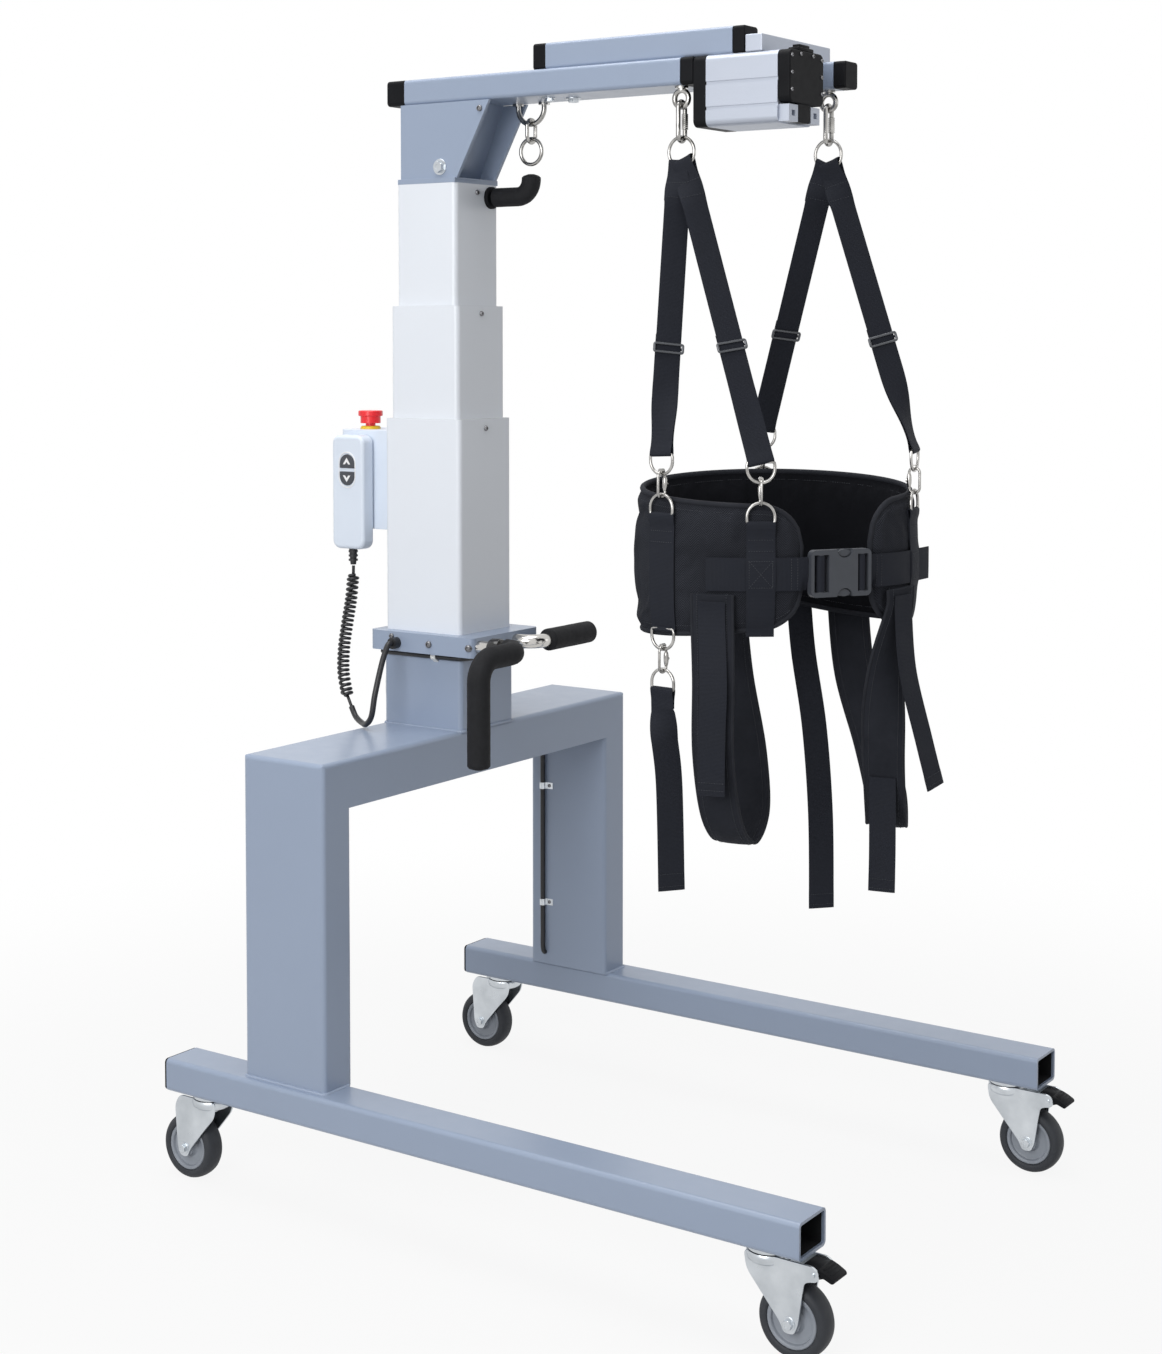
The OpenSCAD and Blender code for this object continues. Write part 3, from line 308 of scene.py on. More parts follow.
wx, wz, wy = -0.0734, 0.787, 0.078
lie = wy + 0.0046
socket_wire = along([(-0.04, lie, wz - 0.04), (-0.04, lie, wz - 0.024), (-0.046, lie, wz - 0.006), (-0.058, lie, wz),
                     (wx + 0.005, wy + 0.002, wz), (wx, wy - 0.008, wz), (wx, 0.03, wz), (wx, -0.03, wz),
                     (wx, -wy + 0.008, wz), (wx + 0.006, -wy - 0.004, wz), (-0.052, -wy - 0.008, wz),
                     (-0.02, -wy - 0.01, wz), (0, -wy - 0.01, wz), (0.011, -wy - 0.008, wz),
                     (0.0155, -wy - 0.0035, wz), (0.016, -wy - 0.0003, wz)], 6) + (0, column_y, 0)
ux = 0.334
upright_wire = along([(ux - 0.0046, 0.05, z) for z in (0.5997, 0.58, 0.45, 0.28)]
                     + [(ux - 0.0048, 0.0496, 0.248), (ux - 0.006, 0.049, 0.226), (ux - 0.006, 0.048, 0.214),
                        (ux - 0.0032, 0.048, 0.209), (ux - 0.0003, 0.048, 0.2084)], 8) + (0, column_y, 0)
for wire_name, wire in (("socket_cable", socket_wire), ("upright_cable", upright_wire)):
    sheathed(wire_name, wire, 0.004, 14, 0, "cables", stiffness="stiff", lay="taut")
dress(sheath, "cord_relief", "cord_gland")

# Base frame: two rectangular steel legs, two uprights, a crossbeam and the column's socket, welded
# together and coated in satin blue-grey powder. Fillet welds run round each foot under the coat.
frame_coat = surface("blue_grey_coat", (3.2, 5, (0.268, 0.327, 0.436), (0.302, 0.363, 0.478)), (0.28, 0.16, 38),
                     (620, 2, 0.06, 0.0006), Coat_Weight=0.2, Coat_Roughness=0.22)
dress(frame_coat, "near_leg", "far_leg", "near_upright", "far_upright", "crossbeam", "column_socket", "collar")


def repeating_tree(name, **sockets):
    tree = bpy.data.node_groups.new(name, "GeometryNodeTree")
    for label, kind in sockets.items():
        tree.interface.new_socket(label, in_out="INPUT", socket_type="NodeSocket" + kind)
    tree.interface.new_socket("Made", in_out="OUTPUT", socket_type="NodeSocketGeometry")
    return tree, Field(tree), {s.name: Field(tree, s) for s in tree.nodes.new("NodeGroupInput").outputs if s.name}


def repeat(start, material, points, instance, rotation, scale):
    many = start.node("GeometryNodeInstanceOnPoints",
                      {"Points": points, "Instance": instance, "Rotation": rotation, "Scale": scale})
    many = start.node("GeometryNodeRealizeInstances", {"Geometry": many})
    many = start.node("GeometryNodeSetMaterial", {"Geometry": many, "Material": material})
    start.tree.links.new(many.socket, start.tree.nodes.new("NodeGroupOutput").inputs["Made"])


def attribute(start, name, kind):
    return start.node("GeometryNodeInputNamedAttribute", {"Name": name}, data_type=kind)


bead_tree, start, given = repeating_tree("run_of_beads", Path="Geometry", Pitch="Float", Long="Float", Wide="Float",
                                         High="Float", Finish="Material")
spaced = start.node("GeometryNodeMeshToCurve", {"Mesh": given["Path"]})
spaced = start.node("GeometryNodeResampleCurve", {"Curve": spaced, "Length": given["Pitch"]}, mode="LENGTH")
turned = start.node("GeometryNodeInputTangent")
turned = start.node("FunctionNodeAlignRotationToVector", {"Vector": turned}, axis="X")
outward = attribute(start, "out", "FLOAT_VECTOR")
turned = start.node("FunctionNodeAlignRotationToVector", {"Rotation": turned, "Vector": outward}, axis="Z",
                    pivot_axis="X")
bead = start.node("GeometryNodeMeshUVSphere", {"Segments": 6, "Rings": 4, "Radius": 0.5})
bead = start.node("GeometryNodeSetShadeSmooth", {"Geometry": bead})
size = start.node("ShaderNodeCombineXYZ", {0: given["Long"], 1: given["Wide"], 2: given["High"]})
repeat(start, given["Finish"], spaced, bead, turned, size)


def taken_up(made):
    old = made.data
    fixed = bpy.data.meshes.new_from_object(made.evaluated_get(bpy.context.evaluated_depsgraph_get()))
    made.modifiers.clear()
    made.data = fixed
    bpy.data.meshes.remove(old)
    fixed.name = made.name


def grown(name, mesh, tree, values, body):
    made = shown_as(name, mesh)
    modifier = made.modifiers.new("grow", "NODES")
    modifier.node_group = tree
    for socket in tree.interface.items_tree:
        if socket.in_out == "INPUT" and socket.name in values:
            modifier[socket.identifier] = values[socket.name]
    taken_up(made)
    return assigned(made, body)


def beads(name, runs, material, body, pitch, long, wide, high):
    verts, edges, outs = [], [], []
    for line, out in runs:
        edges += [(len(verts) + i, len(verts) + i + 1) for i in range(len(line) - 1)]
        verts += [tuple(p) for p in line]
        outs += [tuple(o) for o in out]
    mesh = bpy.data.meshes.new(name + "_path")
    mesh.from_pydata(verts, edges, [])
    mesh.attributes.new("out", "FLOAT_VECTOR", "POINT").data.foreach_set("vector", np.array(outs, np.float32).ravel())
    return grown(name, mesh, bead_tree, {"Pitch": pitch, "Long": long, "Wide": wide, "High": high, "Finish": material},
                 body)


def heading(degrees):
    return np.array((math.cos(math.radians(degrees)), math.sin(math.radians(degrees)), 0))


def foot_run(x0, x1, y0, y1, r, z):
    line, outs = [], []
    for cx, cy, first in ((x1 - r, y1 - r, 0), (x0 + r, y1 - r, 90), (x0 + r, y0 + r, 180), (x1 - r, y0 + r, 270)):
        for k in range(7):
            line.append(np.array((cx, cy, z)) + r * heading(first + 15 * k))
            outs.append(heading(first + 15 * k) + (0, 0, 1))
    return line + line[:1], outs + outs[:1]


weld_runs = [foot_run(-0.3966, -0.339, 0.2474, 0.4046, 0.0075, 0.1882),
             foot_run(0.339, 0.3966, 0.2474, 0.4046, 0.0075, 0.1882),
             foot_run(-0.0695, 0.0695, 0.2476, 0.4044, 0.0085, 0.6712)]
beads("foot_welds", weld_runs, frame_coat, "base", 0.0021, 0.0056, 0.0068, 0.0052)

# Screws and bolts: oiled or zinc plated button screws with a hexagon recess on the collar, clips, stages,
# box and drive, and zinc hexagon bolts on washers at the head, the boom and the axles.
def lathe(profile, sides, six=(), ring=False):
    verts = []
    for k, (r, z) in enumerate(profile):
        for j in range(sides):
            a = 2 * math.pi * j / sides
            q = r * (math.cos(math.pi / 6) / math.cos(a % (math.pi / 3) - math.pi / 6) if k in six else 1)
            verts.append((q * math.cos(a), q * math.sin(a), z))
    rows = len(profile)
    return verts, flipped(bands(rows, sides, ring)) + ([] if ring else caps(rows, sides))


screw_tree, start, given = repeating_tree("row_of_screws", Spots="Geometry", Head="Object", Finish="Material")
head = start.node("GeometryNodeObjectInfo", {"Object": given["Head"]}, "Geometry")
facing = attribute(start, "spin", "FLOAT")
facing = start.node("FunctionNodeAxisAngleToRotation", {"Axis": (0, 0, 1), "Angle": facing})
outward = attribute(start, "out", "FLOAT_VECTOR")
facing = start.node("FunctionNodeAlignRotationToVector", {"Rotation": facing, "Vector": outward}, axis="Z")
repeat(start, given["Finish"], given["Spots"], head, facing, attribute(start, "radius", "FLOAT"))
button_head = lathe([(1, -0.3), (1, 0.3), (0.93, 0.5), (0.72, 0.68), (0.56, 0.7), (0.52, 0.3), (0.2, 0.24)], 24, (4, 5))
hexagon_bolt = lathe([(1.55, -0.2), (1.55, 0.16), (1.5, 0.2), (1.14, 0.2), (1.14, 0.8), (0.98, 0.9), (0.5, 0.9),
                      (0.46, 0.82), (0.2, 0.82)], 24, (3, 4))


def screws(name, shape, spots, material, body):
    mesh = bpy.data.meshes.new(name + "_head")
    mesh.from_pydata(shape[0], [], shape[1])
    mesh.shade_smooth()
    mesh.set_sharp_from_angle(angle=0.6)
    pattern = shown_as(name + "_head", mesh)
    points = bpy.data.meshes.new(name + "_spots")
    points.from_pydata([s[0] for s in spots], [], [])
    for key, kind, field, values in (("out", "FLOAT_VECTOR", "vector", [s[1] for s in spots]),
                                     ("radius", "FLOAT", "value", [s[2] for s in spots]),
                                     ("spin", "FLOAT", "value", [0.7 * k * k for k in range(len(spots))])):
        points.attributes.new(key, kind, "POINT").data.foreach_set(field, np.array(values, np.float32).ravel())
    made = grown(name, points, screw_tree, {"Head": pattern, "Finish": material}, body)
    bpy.data.objects.remove(pattern)
    bpy.data.meshes.remove(mesh)
    return made


zinc = surface("bright_zinc", (26, 4, (0.36, 0.39, 0.42), (0.8, 0.835, 0.87)), (0.2, 0.22, 55),
               (420, 3, 0.06, 0.0004), metallic=1.0)
dark_steel = surface("oiled_steel", (60, 3, (0.16, 0.16, 0.17), (0.26, 0.26, 0.27)), (0.24, 0.2, 150), metallic=1.0)
west, east, south, north, down = (-1, 0, 0), (1, 0, 0), (0, -1, 0), (0, 1, 0), (0, 0, -1)
collar_z, collar_x, collar_bolt = 0.8075, 0.088, 0.0056
screws("button_screws_base", button_head,
       [((-collar_x, 0.372, 0.8152), west, 0.0045)]
       + [((-collar_x, y, collar_z), west, collar_bolt) for y in (0.297, 0.219)]
       + [((collar_x, y, collar_z), east, collar_bolt) for y in (0.36, 0.25)]
       + [((0.0, 0.211, collar_z), south, collar_bolt)]
       + [((x, 0.417, collar_z), north, collar_bolt) for x in (-0.03, 0.03)]
       + [((0.0, 0.251, 1.145), south, 0.0042)] + [((0.3335, 0.364, z), west, 0.0032) for z in (0.504, 0.298)],
       dark_steel, "base")
screws("button_screws_middle", button_head, [((0.0, 0.259, 1.326), south, 0.0042)], dark_steel, "middle")
screws("button_screws_upper", button_head,
       [((0.0, 0.267, 1.517), south, 0.0042)] + [((0.052 * q, 0.222, 1.642), (q, 0, 0), 0.005) for q in (-1, 1)]
       + [((x, -0.3219, z), south, 0.0028) for x in (-0.044, 0.044) for z in (1.638, 1.662, 1.686)]
       + [((x, -0.3219, 1.6895), south, 0.0028) for x in (-0.018, 0.018)], dark_steel, "upper")
screws("hexagon_bolts_upper", hexagon_bolt,
       [((0.052 * q, 0.3, 1.555), (q, 0, 0), 0.0082) for q in (-1, 1)]
       + [((0.012, 0.09, 1.655), down, 0.0075), ((-0.012, 0.118, 1.655), down, 0.006)], zinc, "upper")

# Cable clips: bent strips of bright sheet with one screw tab on the far upright, and a white snap clip
# and cable duct at the collar. Each clip holds its cable against the steel.
def inside_out(faces):
    return [tuple(reversed(f)) for f in faces]


def ribbon(line, across, width, thick, cells=4, edge=0.45, power=0):
    line = np.asarray(line, float)
    ahead = unit(np.gradient(line, axis=0))
    across = np.broadcast_to(np.asarray(across, float), line.shape)
    wide, deep = (np.broadcast_to(np.asarray(v, float), (len(line),)) for v in (width, thick))
    reach = reach_of(line)
    level = np.linspace(-1, 1, cells + 1)
    bulge = np.where(np.abs(level) > 0.999, edge, 1.0)
    if power:
        bulge = np.maximum(np.sqrt(1 - np.abs(level) ** power), edge)
    verts, uv = [], []
    for point, way, side, w, t, s in zip(line, ahead, across, wide, deep, reach):
        side = square_to(side, way)
        over = np.cross(way, side)
        for sign in (1, -1):
            for x, h in zip(level[::sign], bulge):
                verts.append(point + side * (x * w / 2) + over * (sign * h * t / 2))
                uv.append((x * w / 2, s))
    rows, m = len(line), 2 * (cells + 1)
    return (verts, bands(rows, m) + inside_out(caps(rows, m))), uv


def joined(*shapes):
    verts, faces = [], []
    for v, f in shapes:
        faces += [tuple(i + len(verts) for i in face) for face in f]
        verts += [tuple(p) for p in v]
    return verts, faces


def clip_line(face_x, cable_x, y, z, tab):
    line = [(face_x - 0.0006, y - tab, z), (face_x - 0.0006, y - 0.0075, z), (face_x - 0.0012, y - 0.0058, z)]
    line += [np.array((cable_x, y, z)) + 0.0048 * heading(a) for a in range(-60, -301, -20)]
    return along(line + [(face_x - 0.0007, y + 0.0052, z)], 3)


clips = [ribbon(clip_line(ux, ux - 0.0046, 0.376, z, 0.019), (0, 0, 1), 0.011, 0.0011, 2, 1.0)[0]
         for z in (0.504, 0.298)]
piece("upright_clips", joined(*clips), zinc, "base")
white_nylon = surface("white_nylon", (40, 3, (0.74, 0.74, 0.72), (0.82, 0.82, 0.8)), (0.34, 0.16, 120))
snap_x, snap_y, snap_r, duct_x = -0.0692, 0.297, 0.0049, -0.032
snap = [(snap_x, 0.7785), (-0.0735, 0.7818)] + [(wx, wz) + snap_r * heading(a)[:2] for a in range(-100, -271, -20)]
snap = along([(x, snap_y, z) for x, z in snap + [(snap_x, 0.7918)]], 3)
duct = mm((404, 675), (410, 690), (417, 710), (417, 742), (409, 757), (404, 762))
duct = along([(duct_x, y, z) for y, z in duct], 4)
snap, duct = ribbon(snap, (0, 1, 0), 0.009, 0.0014, 2, 1.0)[0], ribbon(duct, (1, 0, 0), 0.03, 0.003, 4, 0.8)[0]
piece("collar_clip_and_duct", joined(snap, duct), white_nylon, "base")

# Casters: pressed zinc forks under a ball race head, an axle bolt through both cheeks, grey moulded
# rims with soft dark tyres, and black two-tongue brake pedals on the front pair. Above them near-black skins
# paint the shade inside the open front ends of the leg tubes.
tread = surface("dark_tyre", (34, 5, (0.024, 0.0265, 0.032), (0.046, 0.05, 0.058)), (0.48, 0.22, 120),
                (700, 3, 0.15, 0.0004), Specular_IOR_Level=0.3)
rim_grey = surface("grey_rim", (40, 3, (0.23, 0.253, 0.29), (0.31, 0.337, 0.38)), (0.34, 0.16, 90))
black_nylon = surface("black_nylon", (30, 3, (0.006, 0.0063, 0.0075), (0.012, 0.0124, 0.0142)), (0.42, 0.18, 90),
                      (1100, 2, 0.12, 0.0004), Specular_IOR_Level=0.07)


def spun_ring(profile, sides, centre):
    turns = [2 * math.pi * j / sides for j in range(sides)]
    verts = np.array([(x, r * math.cos(a), r * math.sin(a)) for r, x in profile for a in turns])
    return verts + centre, bands(len(profile), sides, True)


def moved(shape, by):
    return np.array(shape[0]) + by, shape[1]


def mirrored(half):
    return [*half, *((r, -x) for r, x in half[::-1] if x)]


def softened(polygon, r, steps=4):
    points, line = [np.array(p, float) for p in polygon], []
    for i, corner in enumerate(points):
        before, after = points[i - 1] - corner, points[(i + 1) % len(points)] - corner
        cut = min(r, 0.45 * np.linalg.norm(before), 0.45 * np.linalg.norm(after))
        a, b = corner + unit(before) * cut, corner + unit(after) * cut
        line += [(1 - t) ** 2 * a + 2 * t * (1 - t) * corner + t * t * b for t in np.linspace(0, 1, steps + 1)]
    return line


def plate(outline, x0, x1, ease):
    m, middle = len(outline), np.mean(outline, axis=0)
    verts = [(x, *(p + unit(middle - p) * inset))
             for x, inset in ((x0, ease), (x0 + ease, 0), (x1 - ease, 0), (x1, ease)) for p in outline]
    area = sum(outline[i - 1][0] * outline[i][1] - outline[i][0] * outline[i - 1][1] for i in range(m))
    faces = bands(4, m) + inside_out(caps(4, m))
    return verts, faces if area < 0 else inside_out(faces)


tyre_half = mm((35.6, -13), (36.6, -14.9), (39.2, -16), (43, -15.8), (46.2, -14.2), (48.3, -11), (49.4, -7),
               (49.9, -3), (50, 0))
rim_half = mm((6.2, -17.6), (11.8, -17.6), (13.4, -16.6), (14.2, -11.8), (16.8, -9.2), (26.2, -8.6), (29.2, -9.8),
              (30.2, -13.2), (31, -14), (34.4, -14.4), (35.5, -13.4), (35.5, 0))
crown_top, axle_z, trail, leg_x = 0.1327, 0.05, 0.04, 0.375
brake_y, brake_z, cheek_in, cheek_out, pin_end = -0.074, 0.1207, 0.0185, 0.0215, 0.0235
z1 = crown_top - 0.001
tip = [(-0.053, 0.05), (-0.0475, 0.0382), (-0.04, 0.0368), (-0.0325, 0.0382), (-0.027, 0.05), (0.022, z1 - 0.024)]
front_cheek = softened([(0.026, z1), (-0.074, z1), (-0.082, z1 - 0.006), (-0.082, z1 - 0.018), (-0.062, z1 - 0.022),
                        *tip], 0.008)
rear_cheek = softened([(0.026, z1), (-0.048, z1), (-0.058, z1 - 0.016), *tip], 0.008)
crown = lathe(mm((6.4, 117), (19, 116.8), (25, 117.8), (28.8, 120.8), (30, 125), (30, 129.2), (28.8, 131.6),
                 (26.2, 132.4), (23, 131.2), (19.5, 131.2), (16.5, 132.6), (6.4, 132.7)), 40, ring=True)
pedal = softened(mm((20, 6), (16, 9), (-8, 8.2), (-18, 4.2), (-27.5, -1.2), (-28, -5), (-25.5, -7), (-14, -2.4),
                    (-6, -5.2), (0, -6.8), (6, -4.8), (12, 1)), 0.0025)
rib = mm((-10.5, 8.3), (-12.8, 7.2), (-13.6, 5.2), (-9.8, 6.2))
ribs = [plate(softened(rib - k * mm(4.8, 2.4), 0.0006, 2), -0.013, 0.013, 0.0004) for k in range(3)]
lever = moved(joined(plate(pedal, -0.018, 0.018, 0.001), *ribs), (0, brake_y, brake_z))
for side, x in (("near", -leg_x), ("far", leg_x)):
    for end, y, s in (("front", -0.481, 1), ("rear", 0.493, -1)):
        def set_down(shape):
            return [(x + s * p[0], y + s * p[1], p[2]) for p in shape[0]], shape[1]

        name = side + "_" + end
        cheek = front_cheek if end == "front" else rear_cheek
        axle = tube([(-pin_end, -trail, axle_z), (pin_end, -trail, axle_z)], 0.0056, 20)
        fork = joined(plate(cheek, -cheek_out, -cheek_in, 0.0006), plate(cheek, cheek_in, cheek_out, 0.0006), crown,
                      axle)
        if end == "front":
            fork = joined(fork, tube([(-pin_end, brake_y, brake_z), (pin_end, brake_y, brake_z)], 0.003, 16))
        piece(name + "_pressed_fork", set_down(fork), zinc, name + "_swivel", [name + "_fork"])
        screws(name + "_axle_bolt", hexagon_bolt,
               [((x + s * q * cheek_out, y - s * trail, axle_z), (s * q, 0, 0), 0.006) for q in (1, -1)]
               + [((x + s * q * cheek_out, y + s * 0.012, z1 - 0.01), (s * q, 0, 0), 0.0022) for q in (-1, 1)],
               zinc, name + "_swivel")
        for part, half, sides, material in (("_tyre", tyre_half, 96, tread), ("_rim", rim_half, 64, rim_grey)):
            ring = spun_ring(mirrored(half), sides, (0, -trail, axle_z))
            piece(name + part, set_down(ring), material, name + "_roll", [name + "_wheel"])
        if end == "front":
            piece(side + "_brake_pedal", set_down(lever), black_nylon, side + "_brake_lever",
                  [side + "_brake"])
dress(zinc, "caster_heads")
# A near-black material that paints the shade inside the open leg tube ends.
tube_mouth_painted_shade = surface("bare_tube_inside", (40, 3, (0.008, 0.0085, 0.0095), (0.018, 0.0185, 0.02)), 0.8,
                     Specular_IOR_Level=0.15)
leg_z, leg_mouth_y, bore_half, bore_deep, wall = 0.163, -0.539, (0.031, 0.021), 0.16, 0.0005


def bore_loop(inset, y):
    corner = [(a * (bore_half[0] - inset), b * (bore_half[1] - inset)) for a, b in ((1, 1), (-1, 1), (-1, -1), (1, -1))]
    return [(p[0], y + leg_mouth_y, p[1] + leg_z) for p in softened(corner, 0.003)]


# Thin near-black cups set inside each tube mouth: painted shade, not a part.
for side, x in (("near", -leg_x), ("far", leg_x)):
    loops = [bore_loop(0.0002, 0), bore_loop(0.0002, bore_deep), bore_loop(0.0002 + wall, bore_deep - wall),
             bore_loop(0.0002 + wall, 0)]
    n = len(loops[0])
    walls = flipped(bands(4, n, True))
    cup = walls[:n] + walls[2 * n:] + [tuple(range(n, 2 * n)), tuple(reversed(range(2 * n, 3 * n)))]
    piece(side + "_leg_inside", moved((np.concatenate(loops), cup), (x, 0, 0)), tube_mouth_painted_shade, "base",
          smooth=False)
dress(black_nylon, "leg_plugs")

# Column: three rectangular telescopic stages in satin white powder coat over a hidden motor and screw.
# A thin grey wiper ring closes the step at the top of each outer stage.
white_coat = surface("white_coat", (4, 4, (0.735, 0.77, 0.825), (0.775, 0.81, 0.865)), (0.28, 0.16, 45),
                     (640, 2, 0.05, 0.0006), Coat_Weight=0.2, Coat_Roughness=0.2)
dress(white_coat, "lower_stage", "middle_stage", "upper_stage")
plain_steel = surface("plain_steel", (30, 3, (0.34, 0.34, 0.36), (0.45, 0.45, 0.47)), (0.3, 0.2, 60), metallic=0.9)
dress(plain_steel, "lift_motor", "lift_screw")
grey_nylon = surface("grey_nylon", (50, 3, (0.45, 0.46, 0.47), (0.54, 0.55, 0.56)), (0.42, 0.16, 120))


def oblong(w, d, r, z):
    return [(x, y + column_y, z) for x, y, _ in foot_run(-w / 2, w / 2, -d / 2, d / 2, r, z)[0][:-1]]


def wiper(w, d, gap_w, gap_d, z):
    wide, long = w + gap_w, d + gap_d
    rings = [oblong(w, d, 0.0075, z - 0.006), oblong(wide, long, 0.0075, z - 0.006),
             oblong(wide, long, 0.0075, z - 0.0004), oblong(wide - 0.0012, long - 0.0012, 0.007, z + 0.0002),
             oblong(w + 0.0004, d + 0.0004, 0.0075, z + 0.0002), oblong(w, d, 0.0075, z - 0.0002)]
    return [p for ring in rings for p in ring], inside_out(bands(len(rings), len(rings[0]), True))


piece("lower_wiper", wiper(0.1246, 0.1346, 0.0052, 0.0092, 1.16), grey_nylon, "base")
piece("middle_wiper", wiper(0.1126, 0.1186, 0.0052, 0.0092, 1.338), grey_nylon, "middle")

# Handles: bent bright tubes clamped in the collar, the near one with a glossy black clamp ring, each under
# a foam grip that is pushed on, with a closed rounded end.
nickel = surface("bright_nickel", (18, 3, (0.44, 0.43, 0.41), (0.64, 0.625, 0.6)), (0.1, 0.14, 70), metallic=1.0)
dress(nickel, "near_handle", "far_handle")
foam, shader, where, _ = principled("closed_cell_foam", (0.0105, 0.0108, 0.0125), 0.8, Specular_IOR_Level=0.22)
cells = where.node("ShaderNodeTexVoronoi", {"Vector": where, "Scale": 620.0})
feed(shader, "Base Color", shades(speckle(where, 45), (0.0075, 0.0078, 0.009), (0.0165, 0.017, 0.0195)))
feed(shader, "Roughness", 0.66 + 0.2 * speckle(where, 160))
feed(shader, "Normal", relief(where, cells, 0.35, 0.0007))


def arc(centre, first, second, r):
    centre, first, second = (np.array(v, float) for v in (centre, first, second))
    return [centre + r * (math.cos(t) * first + math.sin(t) * second) for t in np.linspace(0, math.pi / 2, 10)]


def sleeve(line, r):
    end_r = 0.006
    reach = reach_of(line)
    fine = np.linspace(0, reach[-1], max(40, int(reach[-1] / 0.003)))
    line = np.stack([np.interp(fine, reach, line[:, k]) for k in range(3)], axis=1)
    away = np.minimum(fine, reach[-1] - fine)
    swell = 1 + 0.006 * np.sin(fine * 150) * np.sin(fine * 61 + 1.2)
    round_end = np.sqrt(np.clip(1 - (1 - np.clip(away / end_r, 0, 1)) ** 2, 0.12, 1))
    return tube(line, r * swell * round_end, 28)


near_root, far_root = np.array((-0.07, column_y - 0.115, collar_z)), np.array((0.025, column_y - 0.115, collar_z))
near_line = ([(0, -0.0481, 0)] + arc((-0.032, -0.048, 0), (1, 0, 0), (0, -1, 0), 0.032) + [(-0.05, -0.08, 0)]
             + arc((-0.074, -0.08, -0.034), (0, 0, 1), (-1, 0, 0), 0.034)
             + [(-0.108, -0.08, -0.1), (-0.108, -0.08, -0.1648)])
far_line = [(x, -0.036, 0) for x in (0.0324, 0.09, 0.1572)]
grip_r, arm_r = 0.0176, 0.0151
for side, line in (("near", np.array(near_line) + near_root), ("far", np.array(far_line) + far_root)):
    grip = piece(side + "_foam_grip", sleeve(line, grip_r), foam, "base", [side + "_grip"])
gloss_black = surface("gloss_black", (0.012, 0.012, 0.013), (0.12, 0.12, 80))
clamp = spun_ring(mirrored(mm((11.2, -9), (15.8, -9), (16.8, -7))), 40, (0, 0, 0))
clamp = [(p[1], p[0] - 0.033, p[2]) for p in clamp[0]], inside_out(clamp[1])
piece("near_clamp_ring", moved(clamp, near_root), gloss_black, "base")

# Controls: a light grey moulded box on the back of the lower stage, a handset hung on its side with two
# rubber keys under a white border, and a red push button over a yellow ring.
flat_angle, sharp_angle, same_side = 0.02, 0.6, 0.8


def eased(name, node, width, material, body, keep=None, segments=3):
    mesh = nodes[node].data.copy()
    mesh.name = name
    form = bmesh.new()
    form.from_mesh(mesh)
    bmesh.ops.remove_doubles(form, verts=form.verts, dist=2e-6)
    bmesh.ops.dissolve_limit(form, angle_limit=flat_angle, verts=form.verts, edges=form.edges)
    sharp = [e for e in form.edges if len(e.link_faces) == 2 and e.calc_face_angle(0) > sharp_angle
             and (keep is None or keep((e.verts[0].co + e.verts[1].co) / 2))]
    bmesh.ops.bevel(form, geom=sharp, offset=width, offset_type="OFFSET", segments=segments, profile=0.5,
                    affect="EDGES", clamp_overlap=True)
    form.to_mesh(mesh)
    form.free()
    mesh.materials.clear()
    mesh.materials.append(material)
    mesh.shade_smooth()
    around = [[] for _ in mesh.vertices]
    for face in mesh.polygons:
        for corner in face.vertices:
            around[corner].append((face.area, np.array(face.normal)))
    normals = []
    for face in mesh.polygons:
        flat = np.array(face.normal)
        normals += [sum(area * n for area, n in around[corner] if n @ flat > same_side) for corner in face.vertices]
    mesh.normals_split_custom_set([n / max(np.linalg.norm(n), 1e-12) for n in normals])
    return assigned(shown_as(name, mesh), body, [node])


box_grain = surface("light_grey_grain", (20, 3, (0.67, 0.735, 0.83), (0.72, 0.785, 0.88)), (0.36, 0.16, 70),
                    (1500, 2, 0.12, 0.0003))
stop_at = np.array((-0.01, 0.479, 1.139))
eased("control_box_shell", "control_box", 0.003, box_grain, "base",
      lambda p: math.hypot(p.x - stop_at[0], p.y - stop_at[1]) > 0.03)
handset_x, handset_y, keys_z = -0.075, 0.474, 1.075
eased("handset_shell", "handset", 0.006, box_grain, "base",
      lambda p: abs(p.y - handset_y) > 0.02 or abs(p.z - keys_z) > 0.032, segments=5)
white_print = surface("white_print", (300, 3, (0.8, 0.8, 0.81), (0.88, 0.88, 0.89)), 0.45)
key_rubber = surface("key_rubber", (90, 3, (0.036, 0.04, 0.05), (0.055, 0.06, 0.07)), (0.44, 0.16, 200))
border_half, border_r = 0.0115, 0.0168
border = [(border_r * math.cos(t), math.copysign(border_half, math.sin(t)) + border_r * math.sin(t))
          for t in np.linspace(0, 2 * math.pi, 49)[:-1]]
border_line = [(handset_x - 0.0002, handset_y + a, keys_z + b) for a, b in border]
piece("key_border", tube(border_line, 0.0009, 8, loop=True, normal=(1, 0, 0)), white_print, "base")
chevron = mm((0, 6.2), (7.8, -4.6), (3.4, -4.6), (0, -0.2), (-3.4, -4.6), (-7.8, -4.6))
for key, sign in (("up", 1), ("down", -1)):
    eased(key + "_key_pad", key + "_key", 0.001, key_rubber, key + "_press")
    ring = [np.array((handset_y + a, keys_z + sign * (0.0135 + b))) for a, b in chevron]
    arrow = plate(ring, handset_x - 0.00175, handset_x - 0.00125, 0.0001)
    piece(key + "_arrow", arrow, white_print, key + "_press", smooth=False)
stop_red = surface("stop_red", (60, 3, (0.79, 0.018, 0.025), (0.88, 0.028, 0.036)), (0.2, 0.16, 90))
dress(stop_red, "stop_button")
ring_yellow = surface("ring_yellow", (80, 3, (0.7, 0.46, 0.015), (0.8, 0.54, 0.03)), 0.4)
collet = lathe(mm((8.6, 0), (16.5, 0), (16.5, 2.6), (15.2, 4.6), (14.4, 4.9), (8.6, 4.9)), 48, ring=True)
